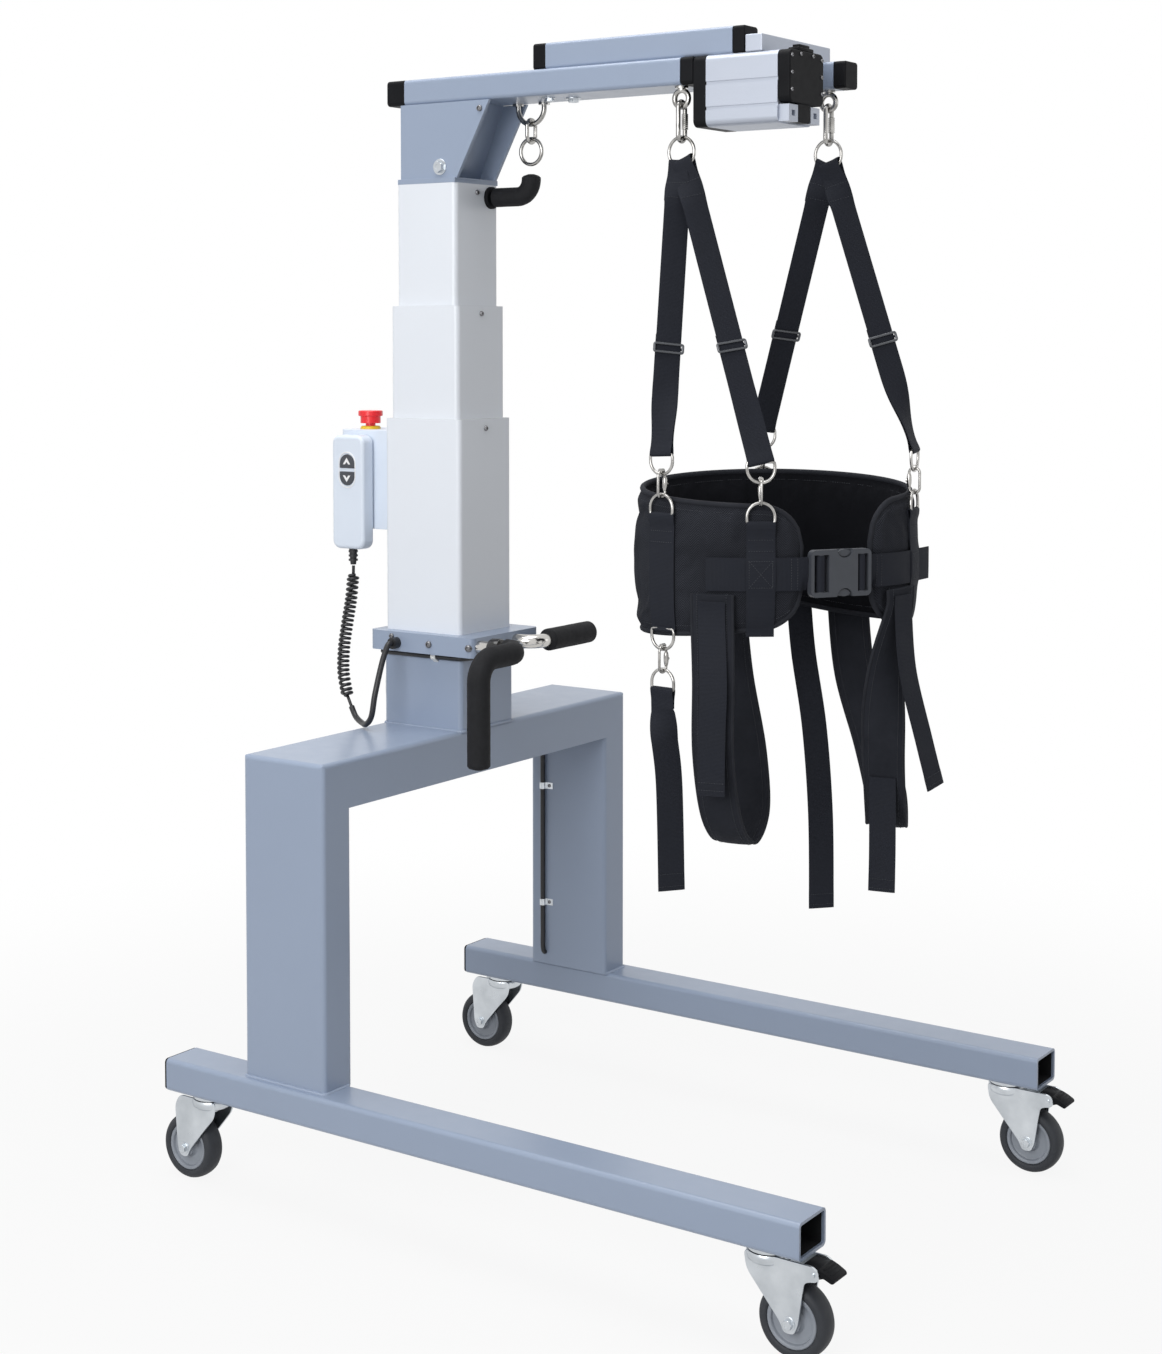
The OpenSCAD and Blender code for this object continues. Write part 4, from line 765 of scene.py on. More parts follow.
piece("stop_yellow_ring", moved(collet, stop_at), ring_yellow, "base")
screws("box_screws", button_head, [((x, 0.513, z), north, 0.0035) for x in (-0.036, 0.036) for z in (0.99, 1.128)],
       zinc, "base")

# Head and boom: a folded plate bracket on the upper stage, a rectangular boom tube, and two square tubes
# beside it in the frame's coat, all closed with pressed-in black caps.
dress(frame_coat, "boom", "extension_tube", "far_tube")
eased("head_bracket_plates", "head_bracket", 0.0008, frame_coat, "upper", segments=2)
eased("tube_end_caps", "tube_caps", 0.0025, black_nylon, "upper")

# Drive: an extruded aluminium body, satin anodised, between two black end covers with a latch on top,
# and the bar that carries the far tube.
anodised, shader, where, _ = principled("satin_anodised", (0.46, 0.49, 0.57), 0.42, 0.45)
drawn = where.node("ShaderNodeMapping", {"Vector": where, "Scale": (400, 6, 400)})
feed(shader, "Roughness", 0.34 + 0.18 * speckle(drawn, 1.0))
feed(shader, "Base Color", shades(speckle(where, 8), (0.43, 0.465, 0.54), (0.48, 0.515, 0.59)))
feed(shader, "Normal", relief(where, speckle(drawn, 1.0), 0.05, 0.0003))
dress(anodised, "drive_body")
eased("far_tube_bar", "cross_bar", 0.002, anodised, "upper")
eased("drive_end_covers", "drive_covers", 0.0025, black_nylon, "upper")


def block(low, high, ease):
    form = bmesh.new()
    bmesh.ops.create_cube(form, size=1)
    low, high = np.array(low, float), np.array(high, float)
    for v in form.verts:
        v.co = Vector((low + high) / 2 + np.array(v.co) * (high - low))
    bmesh.ops.bevel(form, geom=form.edges, offset=ease, offset_type="OFFSET", segments=3, profile=0.5, affect="EDGES")
    form.verts.index_update()
    shape = [tuple(v.co) for v in form.verts], [tuple(v.index for v in f.verts) for f in form.faces]
    form.free()
    return shape


drive_front = column_y - 0.628
latch = joined(block((-0.022, drive_front - 0.019, 1.6945), (0.022, drive_front - 0.001, 1.7), 0.0018),
               block((-0.015, drive_front - 0.016, 1.6995), (0.015, drive_front - 0.004, 1.7045), 0.0016))
piece("drive_latch", latch, black_nylon, "upper")

# Padded arm: a foam sleeve pushed over the arm on the upper stage, against a black flange. The hook eyes
# and the tether beside it take their metal with the harness hardware below.
arm_root = np.array((0.0355, column_y, 1.51))
arm_line = ([(0, -0.0655, 0), (0, -0.113, 0)] + arc((0, -0.113, 0.026), (0, 0, -1), (0, -1, 0), 0.026)[1:]
            + [(0, -0.139, 0.0342)])
arm = piece("padded_arm_sleeve", sleeve(np.array(arm_line) + arm_root, arm_r), foam, "upper", ["padded_arm"])
flange = lathe(mm((17.5, 0), (17.5, 4.5), (16, 6), (6, 6.2)), 36)
flange = [(p[0], -0.059 - p[2], p[1]) for p in flange[0]], flange[1]
piece("arm_flange", moved(flange, arm_root), black_nylon, "upper", ["padded_arm"])

# Harness hardware: oval screw-gate carabiners on the eyes, welded rings, and under each strap a bent-wire
# D-ring, a link with a snap's barrel and pin, and a second D-ring, all in nickel with painted reflections.
# Dark and bright patches painted into the nickel's colour stand in for reflections.
nickel_painted_reflections = surface("handled_nickel", (75, 2, (0.05, 0.048, 0.046), (0.72, 0.705, 0.68)), (0.1, 0.16, 70),
                      metallic=1.0)
swing_turn, hang_at = math.radians(-41.6126), (0.055, -0.2065)
hook_half, hang_z, ring_z, ring_R, ring_r = 0.1137, 1.625, 1.5595, 0.022, 0.0025
low_R, low_r, ring_half, link_R, link_r, link_len = 0.015, 0.0023, 0.02, 0.008, 0.002, 0.022
barrel_r, pin_r, bar_off, side_off = 0.0036, 0.0022, 0.0029, 0.0022
spine_swell = (0.0024, 0.0032, 0.0036, 0.0037, 0.0037, 0.0037, 0.0035, 0.003, 0.0024)
link_drop, ring_drop, strip_len = 0.0184, 0.0588, 0.16
belt_z, belt_u, belt_a, belt_b, belt_t, belt_half = 0.962, 0.036, 0.205, 0.125, 0.02, 0.102
belt_first, belt_last, belt_rise, waist_z = -59.0, 268.0, 0.018, belt_z - 0.011
back_arch, tip_arch, tip_round, tip_share = 0.026, 0.014, 16, 0.35
strap_angles = (204.0, 251.0, 84.0, -25.0)


def hung(points):
    p = np.asarray(points, float)
    c, s = math.cos(swing_turn), math.sin(swing_turn)
    x, y, z = np.moveaxis(p, -1, 0)
    return np.stack([hang_at[0] + c * x - s * y, hang_at[1] + s * x + c * y, z], axis=-1)


def hung_piece(name, shape, material, replaced=(), uv=None):
    return piece(name, (hung(shape[0]), shape[1]), material, "harness", replaced, uv=uv)


def oval(a):
    r = np.radians(a)
    return np.stack([belt_u + belt_a * np.cos(r), belt_b * np.sin(r), 0 * r], axis=-1)


def outward_at(a):
    r = np.radians(a)
    return unit(np.stack([np.cos(r) / belt_a, np.sin(r) / belt_b, 0 * r], axis=-1))


def tangent_at(a):
    n = outward_at(a)
    return np.stack([-n[..., 1], n[..., 0], n[..., 2]], axis=-1)


def bell(x, width, power=2):
    return np.exp(-(x / width) ** power)


def belt_band(a):
    a = np.asarray(a, float)
    top = belt_half + belt_rise * np.sin(np.radians(a))
    low = -belt_half + back_arch * bell(a - 90, 34) + tip_arch * bell(a + 60, 40) + tip_arch * bell(a - belt_last, 40)
    end = np.clip(np.minimum(a - belt_first, belt_last - a), 0, tip_round) / tip_round
    return (top + low) / 2, (top - low) / 2 * (tip_share + (1 - tip_share) * np.sqrt(1 - (1 - end) ** 2))


def crown_at(s):
    return np.maximum((1 - np.minimum(np.abs(s), 1) ** 3) ** 0.6, 0.12)


def belt_face(a, z, off):
    a, z, off = np.broadcast_arrays(*(np.asarray(v, float) for v in (a, z, off)))
    middle, half = belt_band(a)
    deep = belt_t / 2 * crown_at((z - belt_z - middle) / half) + off
    point = oval(a) + outward_at(a) * deep[..., None]
    point[..., 2] = z
    return point


def link(centre, way, r, length, wire, sides=14):
    half = np.linspace(0, math.pi, 15)[:, None]
    bow = r * (np.array(way) * np.cos(half) + np.array((0, 0, 1)) * np.sin(half))
    line = np.concatenate([centre + bow, centre - bow - (0, 0, length)])
    return tube(line, wire, sides, loop=True, normal=np.cross(way, (0, 0, 1)))


def low_z(i):
    return belt_z + belt_half + belt_rise * math.sin(math.radians(strap_angles[i])) + 0.05


def strip_top(i):
    return low_z(i) - ring_drop - low_R - low_r - 0.0005


def strap_foot(i):
    foot = belt_face(strap_angles[i], strip_top(i), bar_off)
    return np.array((foot[0], foot[1], low_z(i)))


def d_ring(centre, way, flip):
    up = np.array((0, 0, flip))
    bend = [(ring_half - 0.0008, low_R - 0.0012), (ring_half, low_R - 0.005)]
    line = [(x, low_R) for x in np.linspace(-ring_half + 0.004, ring_half - 0.004, 9)] + bend
    line += [(ring_half * math.cos(t), ring_half - low_R - ring_half * math.sin(t))
             for t in np.linspace(0, math.pi, 25)]
    line += [(-x, z) for x, z in reversed(bend)]
    return tube([centre + way * x + up * z for x, z in line], low_r, 14, loop=True, normal=np.cross(way, up))


def chain(foot, way, z):
    side = np.array((-way[1], way[0], 0))
    at = np.array((foot[0], foot[1], z))
    eye = at - (0, 0, link_drop)
    spine = [eye + side * link_R - (0, 0, t) for t in np.linspace(0.001, link_len - 0.001, 9)]
    swivel = tube([eye + (0, 0, link_R + 0.0005) + side * x for x in (-0.004, 0.004)], barrel_r, 16)
    return joined(d_ring(at, way, 1), link(eye, side, link_R, link_len, link_r),
                  tube(spine, spine_swell, 14),
                  tube([spine[4] + side * 0.003, spine[4] + side * 0.0052], pin_r, 12), swivel,
                  d_ring(at - (0, 0, ring_drop), way, -1))


clip_way, clip_R, hooks = heading(40), 0.0088, []
gate_end, gate_r, groove_r = 0.0036, 0.0049, 0.0045
for s in (-1, 1):
    top = np.array((s * hook_half, 0, hang_z - 0.001))
    gate = [top + clip_way * clip_R - (0, 0, z) for z in np.linspace(0.008, 0.032, 25)]
    grooved = [gate_end if k in (0, 24) else gate_r if k % 3 else groove_r for k in range(25)]
    hooks += [link(top, clip_way, clip_R, 0.04, 0.0035, 16), tube(gate, grooved, 18)]
dress(nickel_painted_reflections, "hook_eyes", "tether", "top_rings")
hung_piece("screw_gate_carabiners", joined(*hooks), nickel_painted_reflections, ["carabiners"])
side_foot = belt_face(strap_angles[0], strip_top(0) - strip_len, side_off)
side_z = strip_top(0) - strip_len - 0.0005 - low_R - low_r
chains = [chain(strap_foot(i), tangent_at(strap_angles[i]), low_z(i)) for i in range(4)]
chains.append(chain(side_foot, tangent_at(strap_angles[0]), side_z))
hung_piece("rings_and_snaps", joined(*chains), nickel_painted_reflections, ["strap_hardware"])

# Suspension straps: 38 mm black polyester webbing, folded round the ring above and the D-ring below and
# sewn back on itself, with a black three-bar slide on each. The weave runs across the length.
def split(laid):
    parts = laid.tree.nodes.new("ShaderNodeSeparateXYZ")
    laid.tree.links.new(laid.socket, parts.inputs[0])
    return [Field(laid.tree, socket) for socket in parts.outputs[:2]]


def wave(field, rate):
    return 0.5 + 0.5 * field.maths("SINE", field * rate)


webbing, shader, where, laid = principled("black_webbing", (0.014, 0.0155, 0.02), 0.72, Specular_IOR_Level=0.16)
over_x, over_y = split(laid)
weave = wave(over_y, 3300.0) * 0.7 + wave(over_x, 5200.0) * 0.3
wear = speckle(where, 26, 4)
feed(shader, "Base Color", shades(weave * 0.6 + wear * 0.5, (0.0075, 0.0086, 0.0122), (0.021, 0.0236, 0.033)))
feed(shader, "Roughness", 0.62 + 0.24 * wear)
feed(shader, "Normal", relief(where, weave, 0.5, 0.0005))
thread = surface("black_thread", (200, 3, (0.036, 0.039, 0.047), (0.062, 0.067, 0.078)), 0.6, Specular_IOR_Level=0.25)
strap_w, ply, apart, low_fold = 0.038, 0.0017, 0.0012, 0.0034
top_lap, low_lap, turn_gap, top_ease, low_ease = 0.058, 0.02, 0.006, 0.016, 0.01
slide_bump, ring_pinch, ring_cup, seam_lift = 0.0016, 0.16, 0.22, 0.0023
slide_x, slide_z, slide_r, slide_out, slide_share = 0.0215, 0.006, 0.002, 0.004, (0.62, 0.60, 0.61, 0.59)
ring_way = heading(-50)


def eased_step(x, low, high):
    t = min(max((x - low) / (high - low), 0), 1)
    return t * t * (3 - 2 * t)


sewn, slide_shapes, stitch_row = [], [], np.linspace(-0.016, 0.016, 9)
for i in range(4):
    s = -1 if i < 2 else 1
    aside = (-0.004, 0.004)[i % 2]
    fold = (0.0038, 0.006)[i % 2]
    top = np.array((s * hook_half, 0, ring_z - ring_R + 0.0065)) + ring_way * aside
    bar = strap_foot(i) + (0, 0, low_R)
    way = bar - top
    length = float(np.linalg.norm(way))
    way /= length
    bar_way = tangent_at(strap_angles[i])
    bar_way = bar_way if bar_way[0] > 0 else -bar_way
    hung_at = np.array((s * hook_half + (-0.005, 0.005)[i % 2], (0.0026, -0.0026)[i % 2],
                        ring_z - ring_R - ring_r - 0.0001))
    drop = bar + (0, 0, low_r + 0.0014) - hung_at
    slide_at = float((hung_at + drop * slide_share[i] - top) @ way) + 0.008
    line, sides, reach = [], [], []

    def strap_side(t):
        first, last = eased_step(t, 0.012, 0.16 * length), eased_step(t, 0.72 * length, length - 0.02)
        return square_to(ring_way * (1 - first) + np.array((1.0, 0, 0)) * (first - last) + bar_way * last, way)

    def spot(t, lift):
        return top + way * t + np.cross(way, strap_side(t)) * lift

    def lay(stations):
        for t, lift in stations:
            line.append(spot(t, lift))
            sides.append(strap_side(t))
            reach.append(t)

    def turn_back(middle, t, r):
        for q in np.linspace(0, math.pi, 11):
            line.append(middle + np.cross(way, strap_side(t)) * (r * math.cos(q)) + way * (r * math.sin(q)))
            sides.append(strap_side(t))
            reach.append(t)

    lay((t, -apart - (fold - apart) * bell(t, top_ease)) for t in np.linspace(top_lap, turn_gap, 10))
    turn_back(top, 0.0, -fold)
    lay((t, apart + (fold - apart) * bell(t, top_ease) + (low_fold - apart) * bell(length - t, low_ease)
         + slide_bump * bell(t - slide_at, 0.0035)) for t in np.linspace(turn_gap, length - turn_gap, 70))
    turn_back(bar, length, low_fold)
    lay((t, -apart - (low_fold - apart) * bell(length - t, low_ease))
        for t in np.linspace(length - turn_gap, slide_at - low_lap, 36))
    wide = strap_w * (1 - ring_pinch * bell(np.array(reach), 0.02))
    shape, uv = ribbon(line, sides, wide, ply, 10, 0.5)
    verts, row = np.array(shape[0]), 2 * 11
    for k, t in enumerate(reach):
        for j in range(k * row, (k + 1) * row):
            x = min(abs(aside + uv[j][0]), 0.0186)
            verts[j, 2] += ring_cup * bell(t, 0.018) * (ring_R - math.sqrt(ring_R ** 2 - x ** 2))
    strap = hung_piece("suspension_strap_%d" % (i + 1), (verts, shape[1]), webbing, ["suspension_straps"],
                       uv)
    float(reach_of(line)[-1])
    for t in (0.03, 0.052):
        across = [spot(t, seam_lift) + strap_side(t) * x for x in stitch_row]
        sewn.append((across, [np.cross(way, strap_side(t))] * len(across)))
    side, out = strap_side(slide_at), np.cross(way, strap_side(slide_at))
    centre = spot(slide_at, 0.0)
    corner = [(slide_x, slide_z), (-slide_x, slide_z), (-slide_x, -slide_z), (slide_x, -slide_z)]
    hoop = [centre + out * slide_out + side * p[0] + way * p[1] for p in softened(corner, 0.0025)]
    middle_bar = [centre + side * x + out * (slide_out if abs(x) > 0.0205 else -0.0006)
                  for x in (-slide_x, -0.021, -0.0198, 0.0198, 0.021, slide_x)]
    slide_shapes += [tube(hoop, slide_r, 12, loop=True, normal=out), tube(middle_bar, slide_r, 12)]
slide_metal = surface("black_plated_wire", (0.07, 0.075, 0.085), (0.22, 0.16, 90), metallic=0.5, Coat_Weight=0.5,
                      Coat_Roughness=0.1)
hung_piece("three_bar_slides", joined(*slide_shapes), slide_metal, ["strap_adjusters"])

# Belt: a foam pad between two layers of black herringbone cloth, bound at the edge and quilted by a row of
# stitches. The cloth is let out by a short pressure simulation held at the binding and under the straps.
belt_cloth, shader, where, laid = principled("herringbone_cloth", (0.02, 0.022, 0.028), 0.85, Specular_IOR_Level=0.14)
over_x, over_y = split(laid)
ridges = wave(over_y + laid.maths("PINGPONG", over_x, 0.011) * 1.1, 1800.0)
wear = speckle(where, 14, 4)
feed(shader, "Base Color", shades(ridges * 0.65 + wear * 0.45, (0.0035, 0.0039, 0.0058), (0.036, 0.0392, 0.0495)))
feed(shader, "Roughness", 0.76 + 0.2 * wear)
feed(shader, "Normal", relief(where, ridges, 0.8, 0.0009))
binding = surface("edge_binding", (40, 4, (0.012, 0.0132, 0.0175), (0.024, 0.026, 0.033)), (0.68, 0.2, 160),
                  (1200, 2, 0.2, 0.0005), Specular_IOR_Level=0.18)


def shell(outer, inner, across, along_it):
    n, m = outer.shape[:2]
    verts = np.concatenate([outer.reshape(-1, 3), inner.reshape(-1, 3)])
    uv = [(across[i][k], along_it[i][k]) for i in range(n) for k in range(m)] * 2
    back = n * m
    faces = []
    for i in range(n - 1):
        for k in range(m - 1):
            a, b, c, d = i * m + k, (i + 1) * m + k, (i + 1) * m + k + 1, i * m + k + 1
            faces += [(a, b, c, d), (back + d, back + c, back + b, back + a)]
    at = np.arange(n * m).reshape(n, m)
    rim = [int(i) for i in (*at[:, 0], *at[-1, 1:], *at[-2::-1, -1], *at[0, -2:0:-1])]
    faces += [(i, back + i, back + j, j) for i, j in zip(rim, rim[1:] + rim[:1])]
    volume = sum(np.dot(verts[f[0]], np.cross(verts[f[j]], verts[f[j + 1]])) for f in faces for j in (1, 2))
    return (verts, faces if volume > 0 else inside_out(faces)), uv


columns, rows = 200, 36
a_grid, s_grid = np.meshgrid(np.linspace(belt_first, belt_last, columns),
                             np.sin(np.linspace(-math.pi / 2, math.pi / 2, rows)), indexing="ij")
middle, half = belt_band(a_grid)
from_end = np.minimum(a_grid - belt_first, belt_last - a_grid)
end = np.clip(from_end / 5, 0, 1)
deep = belt_t / 2 * crown_at(s_grid) * np.sqrt(np.clip(1 - (1 - end) ** 2, 0.03, 1))
pad_mid = oval(a_grid)
pad_mid[..., 2] = belt_z + middle + s_grid * half
pad_out = outward_at(a_grid)
puff_from = pad_out * (deep * 0.95)[..., None]
arc_at = np.repeat(reach_of(oval(a_grid[:, 0]))[:, None], rows, axis=1)
belt_shape, belt_uv = shell(pad_mid + puff_from, pad_mid - puff_from, arc_at, pad_mid[..., 2])
held = np.clip((np.abs(s_grid) - 0.86) / 0.08, 0, 1)
held = np.maximum(held, np.clip(1 - from_end / 6, 0, 1))
for i, angle in enumerate(strap_angles):
    under = (np.abs((a_grid - angle + 180) % 360 - 180) < 9) & (pad_mid[..., 2] > strip_top(i) - strip_len - 0.01)
    held = np.maximum(held, under)
held = np.maximum(held, (np.abs(pad_mid[..., 2] - waist_z) < 0.03) & ((a_grid < -14) | (a_grid > 222)))


def let_out(name, shape, uv, pins, cap, material, replaced):
    mesh = new_mesh(name, (hung(shape[0]), shape[1]), material, uv)
    mesh.shade_smooth()
    made = shown_as(name, mesh)
    group = made.vertex_groups.new(name="held")
    for i, weight in enumerate(pins):
        if weight > 0.01:
            group.add([i], float(weight), "REPLACE")
    puff = made.modifiers.new("puff", "CLOTH")
    puff.settings.quality, puff.settings.mass = 6, 0.25
    puff.settings.tension_stiffness = puff.settings.compression_stiffness = 14
    puff.settings.shear_stiffness, puff.settings.bending_stiffness = 6, 0.4
    puff.settings.use_pressure, puff.settings.uniform_pressure_force = True, 4
    puff.settings.shrink_min = -0.035
    puff.settings.effector_weights.gravity = 0
    puff.settings.vertex_group_mass = "held"
    puff.collision_settings.use_collision = False
    last_step = 20
    puff.point_cache.frame_start, puff.point_cache.frame_end = 1, last_step
    before = np.array([v.co for v in mesh.vertices])
    for step in range(1, last_step + 1):
        scene.frame_set(step)
    settled = made.evaluated_get(bpy.context.evaluated_depsgraph_get()).to_mesh()
    drift = np.array([v.co for v in settled.vertices]) - before
    far = np.linalg.norm(drift, axis=1)
    drift *= np.where(far > cap, cap / np.maximum(far, 1e-9), 1)[:, None]
    made.modifiers.clear()
    made.vertex_groups.clear()
    mesh.vertices.foreach_set("co", (before + drift).astype(np.float32).ravel())
    mesh.update()
    scene.frame_set(1)
    fine = made.modifiers.new("fine", "SUBSURF")
    fine.levels = fine.render_levels = 1
    taken_up(made)
    assigned(made, "harness", replaced)
    return made


belt = let_out("belt_cloth_pad", belt_shape, belt_uv, np.tile(held.ravel(), 2), 0.004, belt_cloth,
               ["belt_pad"])
lining = surface("black_lining", (30, 4, (0.004, 0.0043, 0.0058), (0.009, 0.0096, 0.0125)), 0.88,
                 (700, 2, 0.3, 0.0006), Specular_IOR_Level=0.1)
belt.data.materials.append(lining)
belt_centre = Vector(hung((belt_u, 0, belt_z)))
for face in belt.data.polygons:
    inward = belt_centre - face.center
    inward.z = 0
    face.material_index = int(face.normal.dot(inward.normalized()) > 0.2)
binding_r, quilt = 0.0042, 0.88
rim_line = np.concatenate([pad_mid[:, -1], pad_mid[-1, ::-1][1:], pad_mid[::-1, 0][1:], pad_mid[0][1:-1]])
hung_piece("belt_binding", tube(rim_line, binding_r, 10, loop=True), binding, ["belt_pad"])
for face in (1, -1):
    for level in (quilt, -quilt):
        a = np.linspace(belt_first + 5, belt_last - 5, 300)
        mid_z, half_z = belt_band(a)
        points = oval(a) + outward_at(a) * (face * (belt_t / 2 * crown_at(level) + 0.0003))
        points[:, 2] = belt_z + mid_z + level * half_z
        sewn.append((points, outward_at(a) * face))

# Belt webbing: strips from the lower rings sewn down over the pad, the front two over the waist strap with a
# boxed cross of stitches, and a black side-release buckle at the front.
strip_w, hem_r, hem_out, waist_w, waist_lift = 0.04, 0.0033, 0.0028, 0.048, 0.0031
strip_off, hem_swell, hem_ease = 0.0021, 0.0041, 0.009
box_path = np.array([(-1, 1), (1, 1), (1, -1), (-1, -1), (-1, 1), (1, -1), (1, 1), (-1, -1)]) * (0.016, 0.019)
for i, angle in enumerate(strap_angles):
    top_z, rate = strip_top(i), float(np.linalg.norm(oval(np.array(angle + 0.5)) - oval(np.array(angle - 0.5))))
    over_waist = i in (1, 3)

    def lift_over(z):
        return 0.003 * over_waist * bell(z - waist_z, 0.028, 4)

    run = [(z, 0.0006) for z in np.linspace(top_z - 0.04, top_z - 0.002, 8)]
    run += [(top_z + hem_out + hem_r * math.sin(q), bar_off - hem_r * math.cos(q))
            for q in np.linspace(0.25, math.pi, 9)]
    foot = top_z - strip_len
    run += [(z, strip_off + hem_swell * bell(top_z - z, hem_ease) + lift_over(z))
            for z in np.linspace(top_z, foot, 40)]
    if i == 0:
        run += [(foot - hem_out - hem_r * math.sin(q), side_off + hem_r * math.cos(q))
                for q in np.linspace(0.4, math.pi, 9)]
        run += [(z, 0.0004) for z in np.linspace(foot, foot + 0.03, 6)]
    run = np.array(run)
    (z_run, off_run), ahead, reach = run.T, unit(np.gradient(run, axis=0)), reach_of(run)
    x_run = np.linspace(-strip_w / 2, strip_w / 2, 9)

    def strip_at(sign):
        z = z_run + sign * ahead[:, 1] * ply / 2
        off = off_run - sign * ahead[:, 0] * ply / 2
        flat = belt_face(angle + x_run / rate, np.clip(z, foot, top_z)[:, None], off[:, None])
        flat[..., 2] = z[:, None]
        return flat

    shape, uv = shell(strip_at(1), strip_at(-1), np.tile(x_run, (len(run), 1)), np.tile(reach[:, None], (1, 9)))
    strip = hung_piece("belt_strip_%d" % (i + 1), shape, webbing, ["webbing_tails"], uv)
    box = box_path + (0, waist_z - top_z)
    box = np.concatenate([np.linspace(p, q, 8) for p, q in zip(box, box[1:])])
    for patch in [box] * over_waist + [np.stack([stitch_row, np.full(9, -z)], axis=1) for z in (0.02, 0.036)]:
        stitch_a, stitch_z = angle + patch[:, 0] / rate, top_z + patch[:, 1]
        sewn.append((belt_face(stitch_a, stitch_z, 0.0031 + lift_over(stitch_z)), outward_at(stitch_a)))

for name, first, last, tab, seams in (("waist_strap_left", 269.8, 228.0, 0.0, (0.1, 0.16)),
                                      ("waist_strap_right", -62.9, -9.0, 0.016, (0.08, 0.13, 0.66))):
    a_run = np.linspace(first, last, 60)
    z_run = waist_z + np.linspace(-waist_w / 2, waist_w / 2, 9)
    lift = waist_lift + tab * np.clip((a_run + 24) / 15, 0, 1) ** 1.6
    length_at = reach_of(oval(a_run) + outward_at(a_run) * 0.015)
    skins = [belt_face(a_run[:, None], z_run, (lift + face * ply / 2)[:, None]) for face in (1, -1)]
    shape, uv = shell(*skins, np.tile(z_run, (60, 1)), np.tile(length_at[:, None], (1, 9)))
    strap = hung_piece(name, shape, webbing, ["waist_strap"], uv)
    for q in seams:
        a = np.full(9, first + (last - first) * q)
        sewn.append((belt_face(a, waist_z + np.linspace(-0.021, 0.021, 9), 0.0042), outward_at(a)))

buckle_black = surface("buckle_acetal", (60, 3, (0.043, 0.048, 0.058), (0.058, 0.063, 0.075)), (0.38, 0.16, 180),
                       (1500, 2, 0.15, 0.0003), Specular_IOR_Level=0.4)
eased("side_release_buckle", "buckle", 0.0014, buckle_black, "harness")
buckle_at, buckle_turn, wraps = np.array((0.085, -0.1336, waist_z)), heading(8.5), []
for u, r in ((-0.032, 0.0069), (0.0355, 0.0059)):
    bar = [buckle_at + u * buckle_turn + (0, 0, z) for z in (-0.0262, -0.0258, 0, 0.0258, 0.0262)]
    wraps.append(tube(bar, [r - 0.0006, r, r, r, r - 0.0006], 24))
hung_piece("bar_wraps", joined(*wraps), webbing, ["waist_strap"])

# Leg loops and tails: broad padded bands bound at both edges that hang under the belt, and plain webbing
# tails with a folded hem, each ending free. The stitches of the whole harness are grown last, in one piece.
def on_belt(a, drop, off):
    return tuple(1000 * belt_face(a, belt_z - drop / 1000, off / 1000))


near_loop = [on_belt(231, 40, 5), on_belt(231, 75, 5.6), (-98, -112, 800), (-96, -106, 690), (-76, -84, 592),
             (-40, -44, 548), (-6, 0, 582), (2, 40, 660), (-4, 88, 770), on_belt(100, 88, 5.6), on_belt(100, 62, 5)]
near_turn = ([(0.86, -0.5, 0)] * 2 + [(0.8, -0.6, 0)] + [(0.75, -0.6, 0)] * 4 + [(0.8, -0.5, 0), (0.9, -0.2, 0)]
             + [(0.99, 0.1, 0)] * 2)
far_loop = [on_belt(-43, 40, 5), on_belt(-43, 75, 5.6), (170, -100, 800), (172, -88, 690), (186, -62, 596),
            (204, -24, 556), (220, 20, 590), (214, 56, 668), (196, 92, 770), on_belt(45, 88, 5.6), on_belt(45, 62, 5)]
far_turn = ([(0.86, 0.5, 0)] * 2 + [(0.92, 0.2, 0), (0.85, -0.5, 0)] + [(0.75, -0.6, 0)] * 3
            + [(0.8, -0.55, 0), (0.85, -0.5, 0)] + [(0.855, -0.52, 0)] * 2)
loop_cloth = surface("loop_cloth", (22, 5, (0.0105, 0.012, 0.0165), (0.024, 0.026, 0.034)), (0.72, 0.2, 120),
                     (950, 2, 0.35, 0.0006), Specular_IOR_Level=0.16)
loop_w, loop_t, edge_at, edge_r, seam_at, seam_out = 0.06, 0.0086, 0.0296, 0.0026, 0.0215, 0.0039


def sides_of(line, across):
    ahead = unit(np.gradient(line, axis=0))
    side = unit(across - ahead * (across * ahead).sum(axis=1)[:, None])
    return side, np.cross(ahead, side)


for name, route, turn in (("near_leg_loop", near_loop, near_turn), ("far_leg_loop", far_loop, far_turn)):
    line, across = along(mm(*route), 10), along(turn, 10)
    shape, uv = ribbon(line, across, loop_w, loop_t, 12, 0.3, 3)
    band = hung_piece(name + "_pad", shape, loop_cloth, [name], uv)
    side, out = sides_of(line, across)
    hung_piece(name + "_binding", joined(*(tube(line + side * q, edge_r, 10) for q in (edge_at, -edge_at))), binding,
               [name])
    for q in (-seam_at, seam_at):
        for sign in (1, -1):
            sewn.append((line + side * q + out * (sign * seam_out), out * sign))

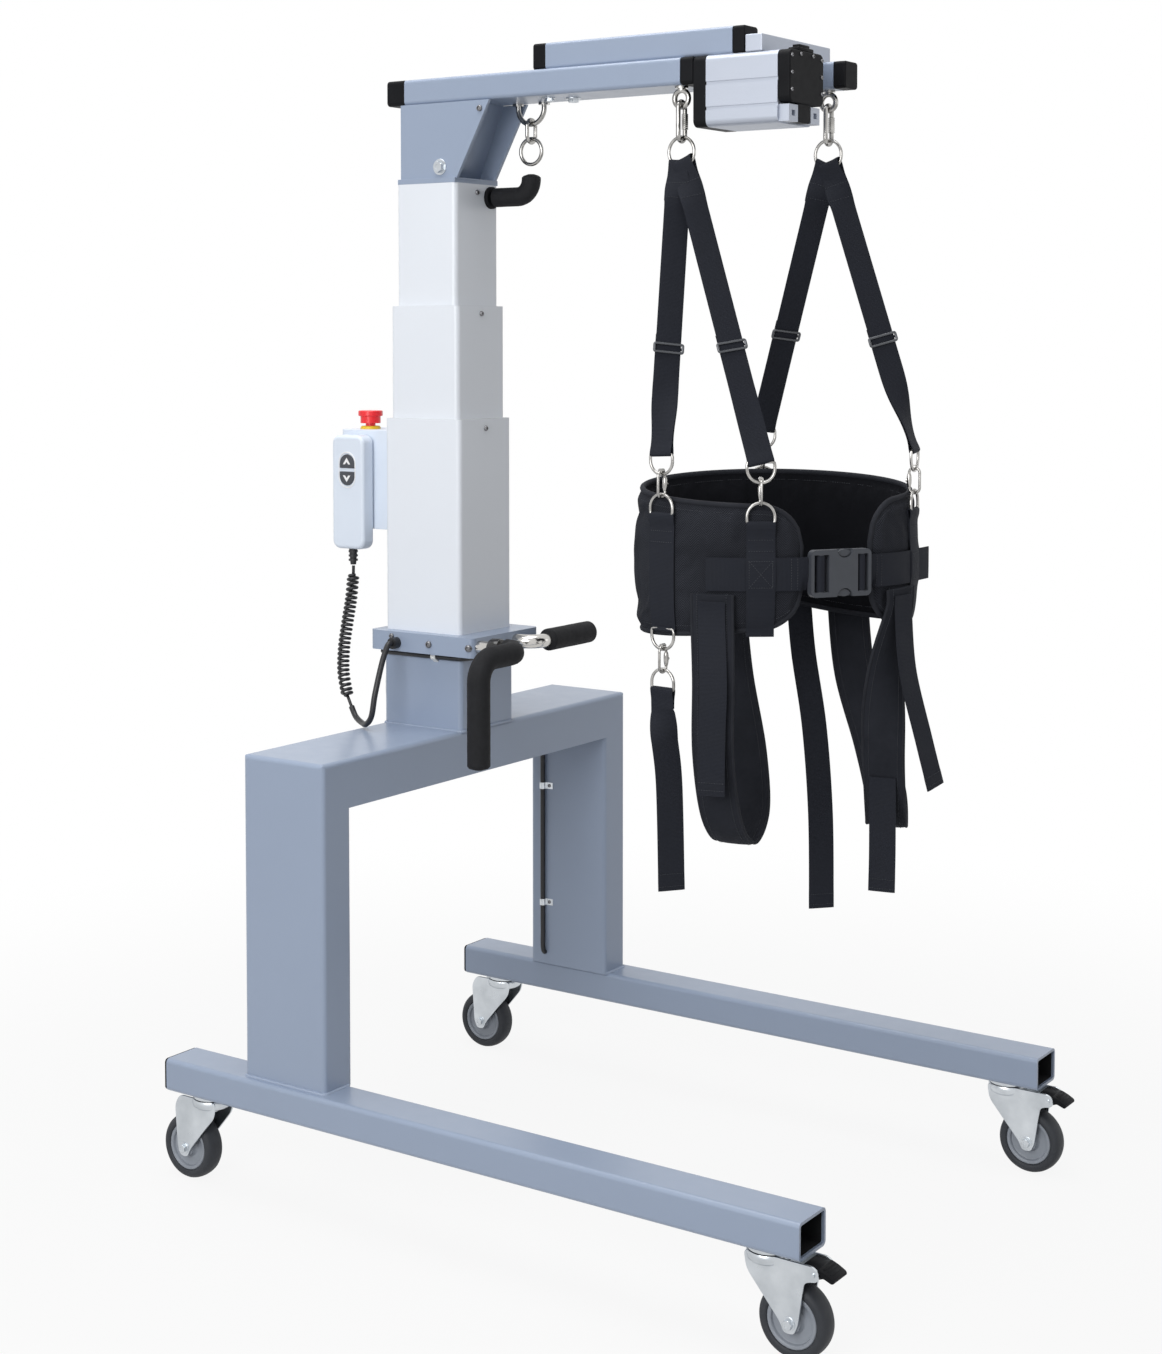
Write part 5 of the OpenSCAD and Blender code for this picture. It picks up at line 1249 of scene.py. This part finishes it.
side_u, side_v = 1000 * side_foot[0], 1000 * side_foot[1]
tail_z = 1000 * (side_z - ring_drop - low_R - low_r) - 0.5
back_mid, back_half = belt_band(68.0)
back_foot = 1000 * (oval(np.array(68.0)) + (0, 0, belt_z + back_mid - back_half - 0.0017))
tails = [([(side_u, side_v, tail_z), (side_u + 2, side_v, tail_z - 60), (side_u + 10, side_v, 640),
           (side_u + 14, side_v, 483)], (1, 0, 0)),
         ([on_belt(231, 50, 11.4), on_belt(231, 78, 13), (-102, -125, 790), (-104, -124, 720), (-104, -122, 634)],
          (0.86, -0.5, 0)),
         ([on_belt(-43, 50, 11.4), on_belt(-43, 78, 14.5), (198, -118, 800), (222, -122, 700), (240, -124, 630)],
          (0.86, 0.5, 0)),
         ([back_foot, (116, 104, 800), (122, 70, 690), (124, 46, 560), (124, 40, 416)], (1, 0, 0)),
         ([(173.6, -81.6, 639), (174.2, -80.6, 622), (175, -79.6, 570), (175, -79.6, 520), (174, -80, 468)],
          (0.8, -0.55, 0))]
tail_fold, lap_len, hem_len, hem_ply = 0.0036, 0.026, 0.024, 0.0032
for k, (route, turn) in enumerate(tails):
    line = along(mm(*route), 14)
    across = np.broadcast_to(np.array(turn, float), line.shape)
    if k == 0:
        bar = np.array((*side_foot[:2], side_z - ring_drop - low_R))
        out, bar_way = outward_at(strap_angles[0]), tangent_at(strap_angles[0])
        lap = [(-apart - (tail_fold - apart) * bell(t, 0.01), -t) for t in np.linspace(lap_len, 0.005, 10)]
        back = [(-a, b) for a, b in reversed(lap)]
        lap += [(-tail_fold * math.cos(q), tail_fold * math.sin(q)) for q in np.linspace(0, math.pi, 11)] + back
        rest = line[line[:, 2] < bar[2] - lap_len - 0.006]
        turned = np.clip((bar[2] - lap_len - rest[:, 2]) / 0.05, 0, 1)[:, None]
        across = np.concatenate([np.tile(bar_way, (len(lap), 1)), bar_way * (1 - turned) + np.array(turn) * turned])
        line = np.concatenate([[bar + out * a + np.array((0, 0, b)) for a, b in lap], rest])
    reach = reach_of(line)
    thick = np.where(reach > reach[-1] - hem_len, hem_ply, ply)
    shape, uv = ribbon(line, across, strip_w, thick, 8, 0.5)
    tail = hung_piece("webbing_tail_%d" % (k + 1), shape, webbing, ["webbing_tails"], uv)
    side, out = sides_of(line, across)
    for back in (0.006, 0.02):
        at = int(np.argmin(np.abs(reach - (reach[-1] - back))))
        for face in (out[at], -out[at]):
            row = [line[at] + face * 0.0019 + side[at] * x for x in np.linspace(-0.017, 0.017, 9)]
            sewn.append((row, [face] * len(row)))
beads("stitches", [(hung(line), hung(out) - hung((0, 0, 0))) for line, out in sewn], thread, "harness",
      0.0036, 0.0028, 0.0009, 0.0008)
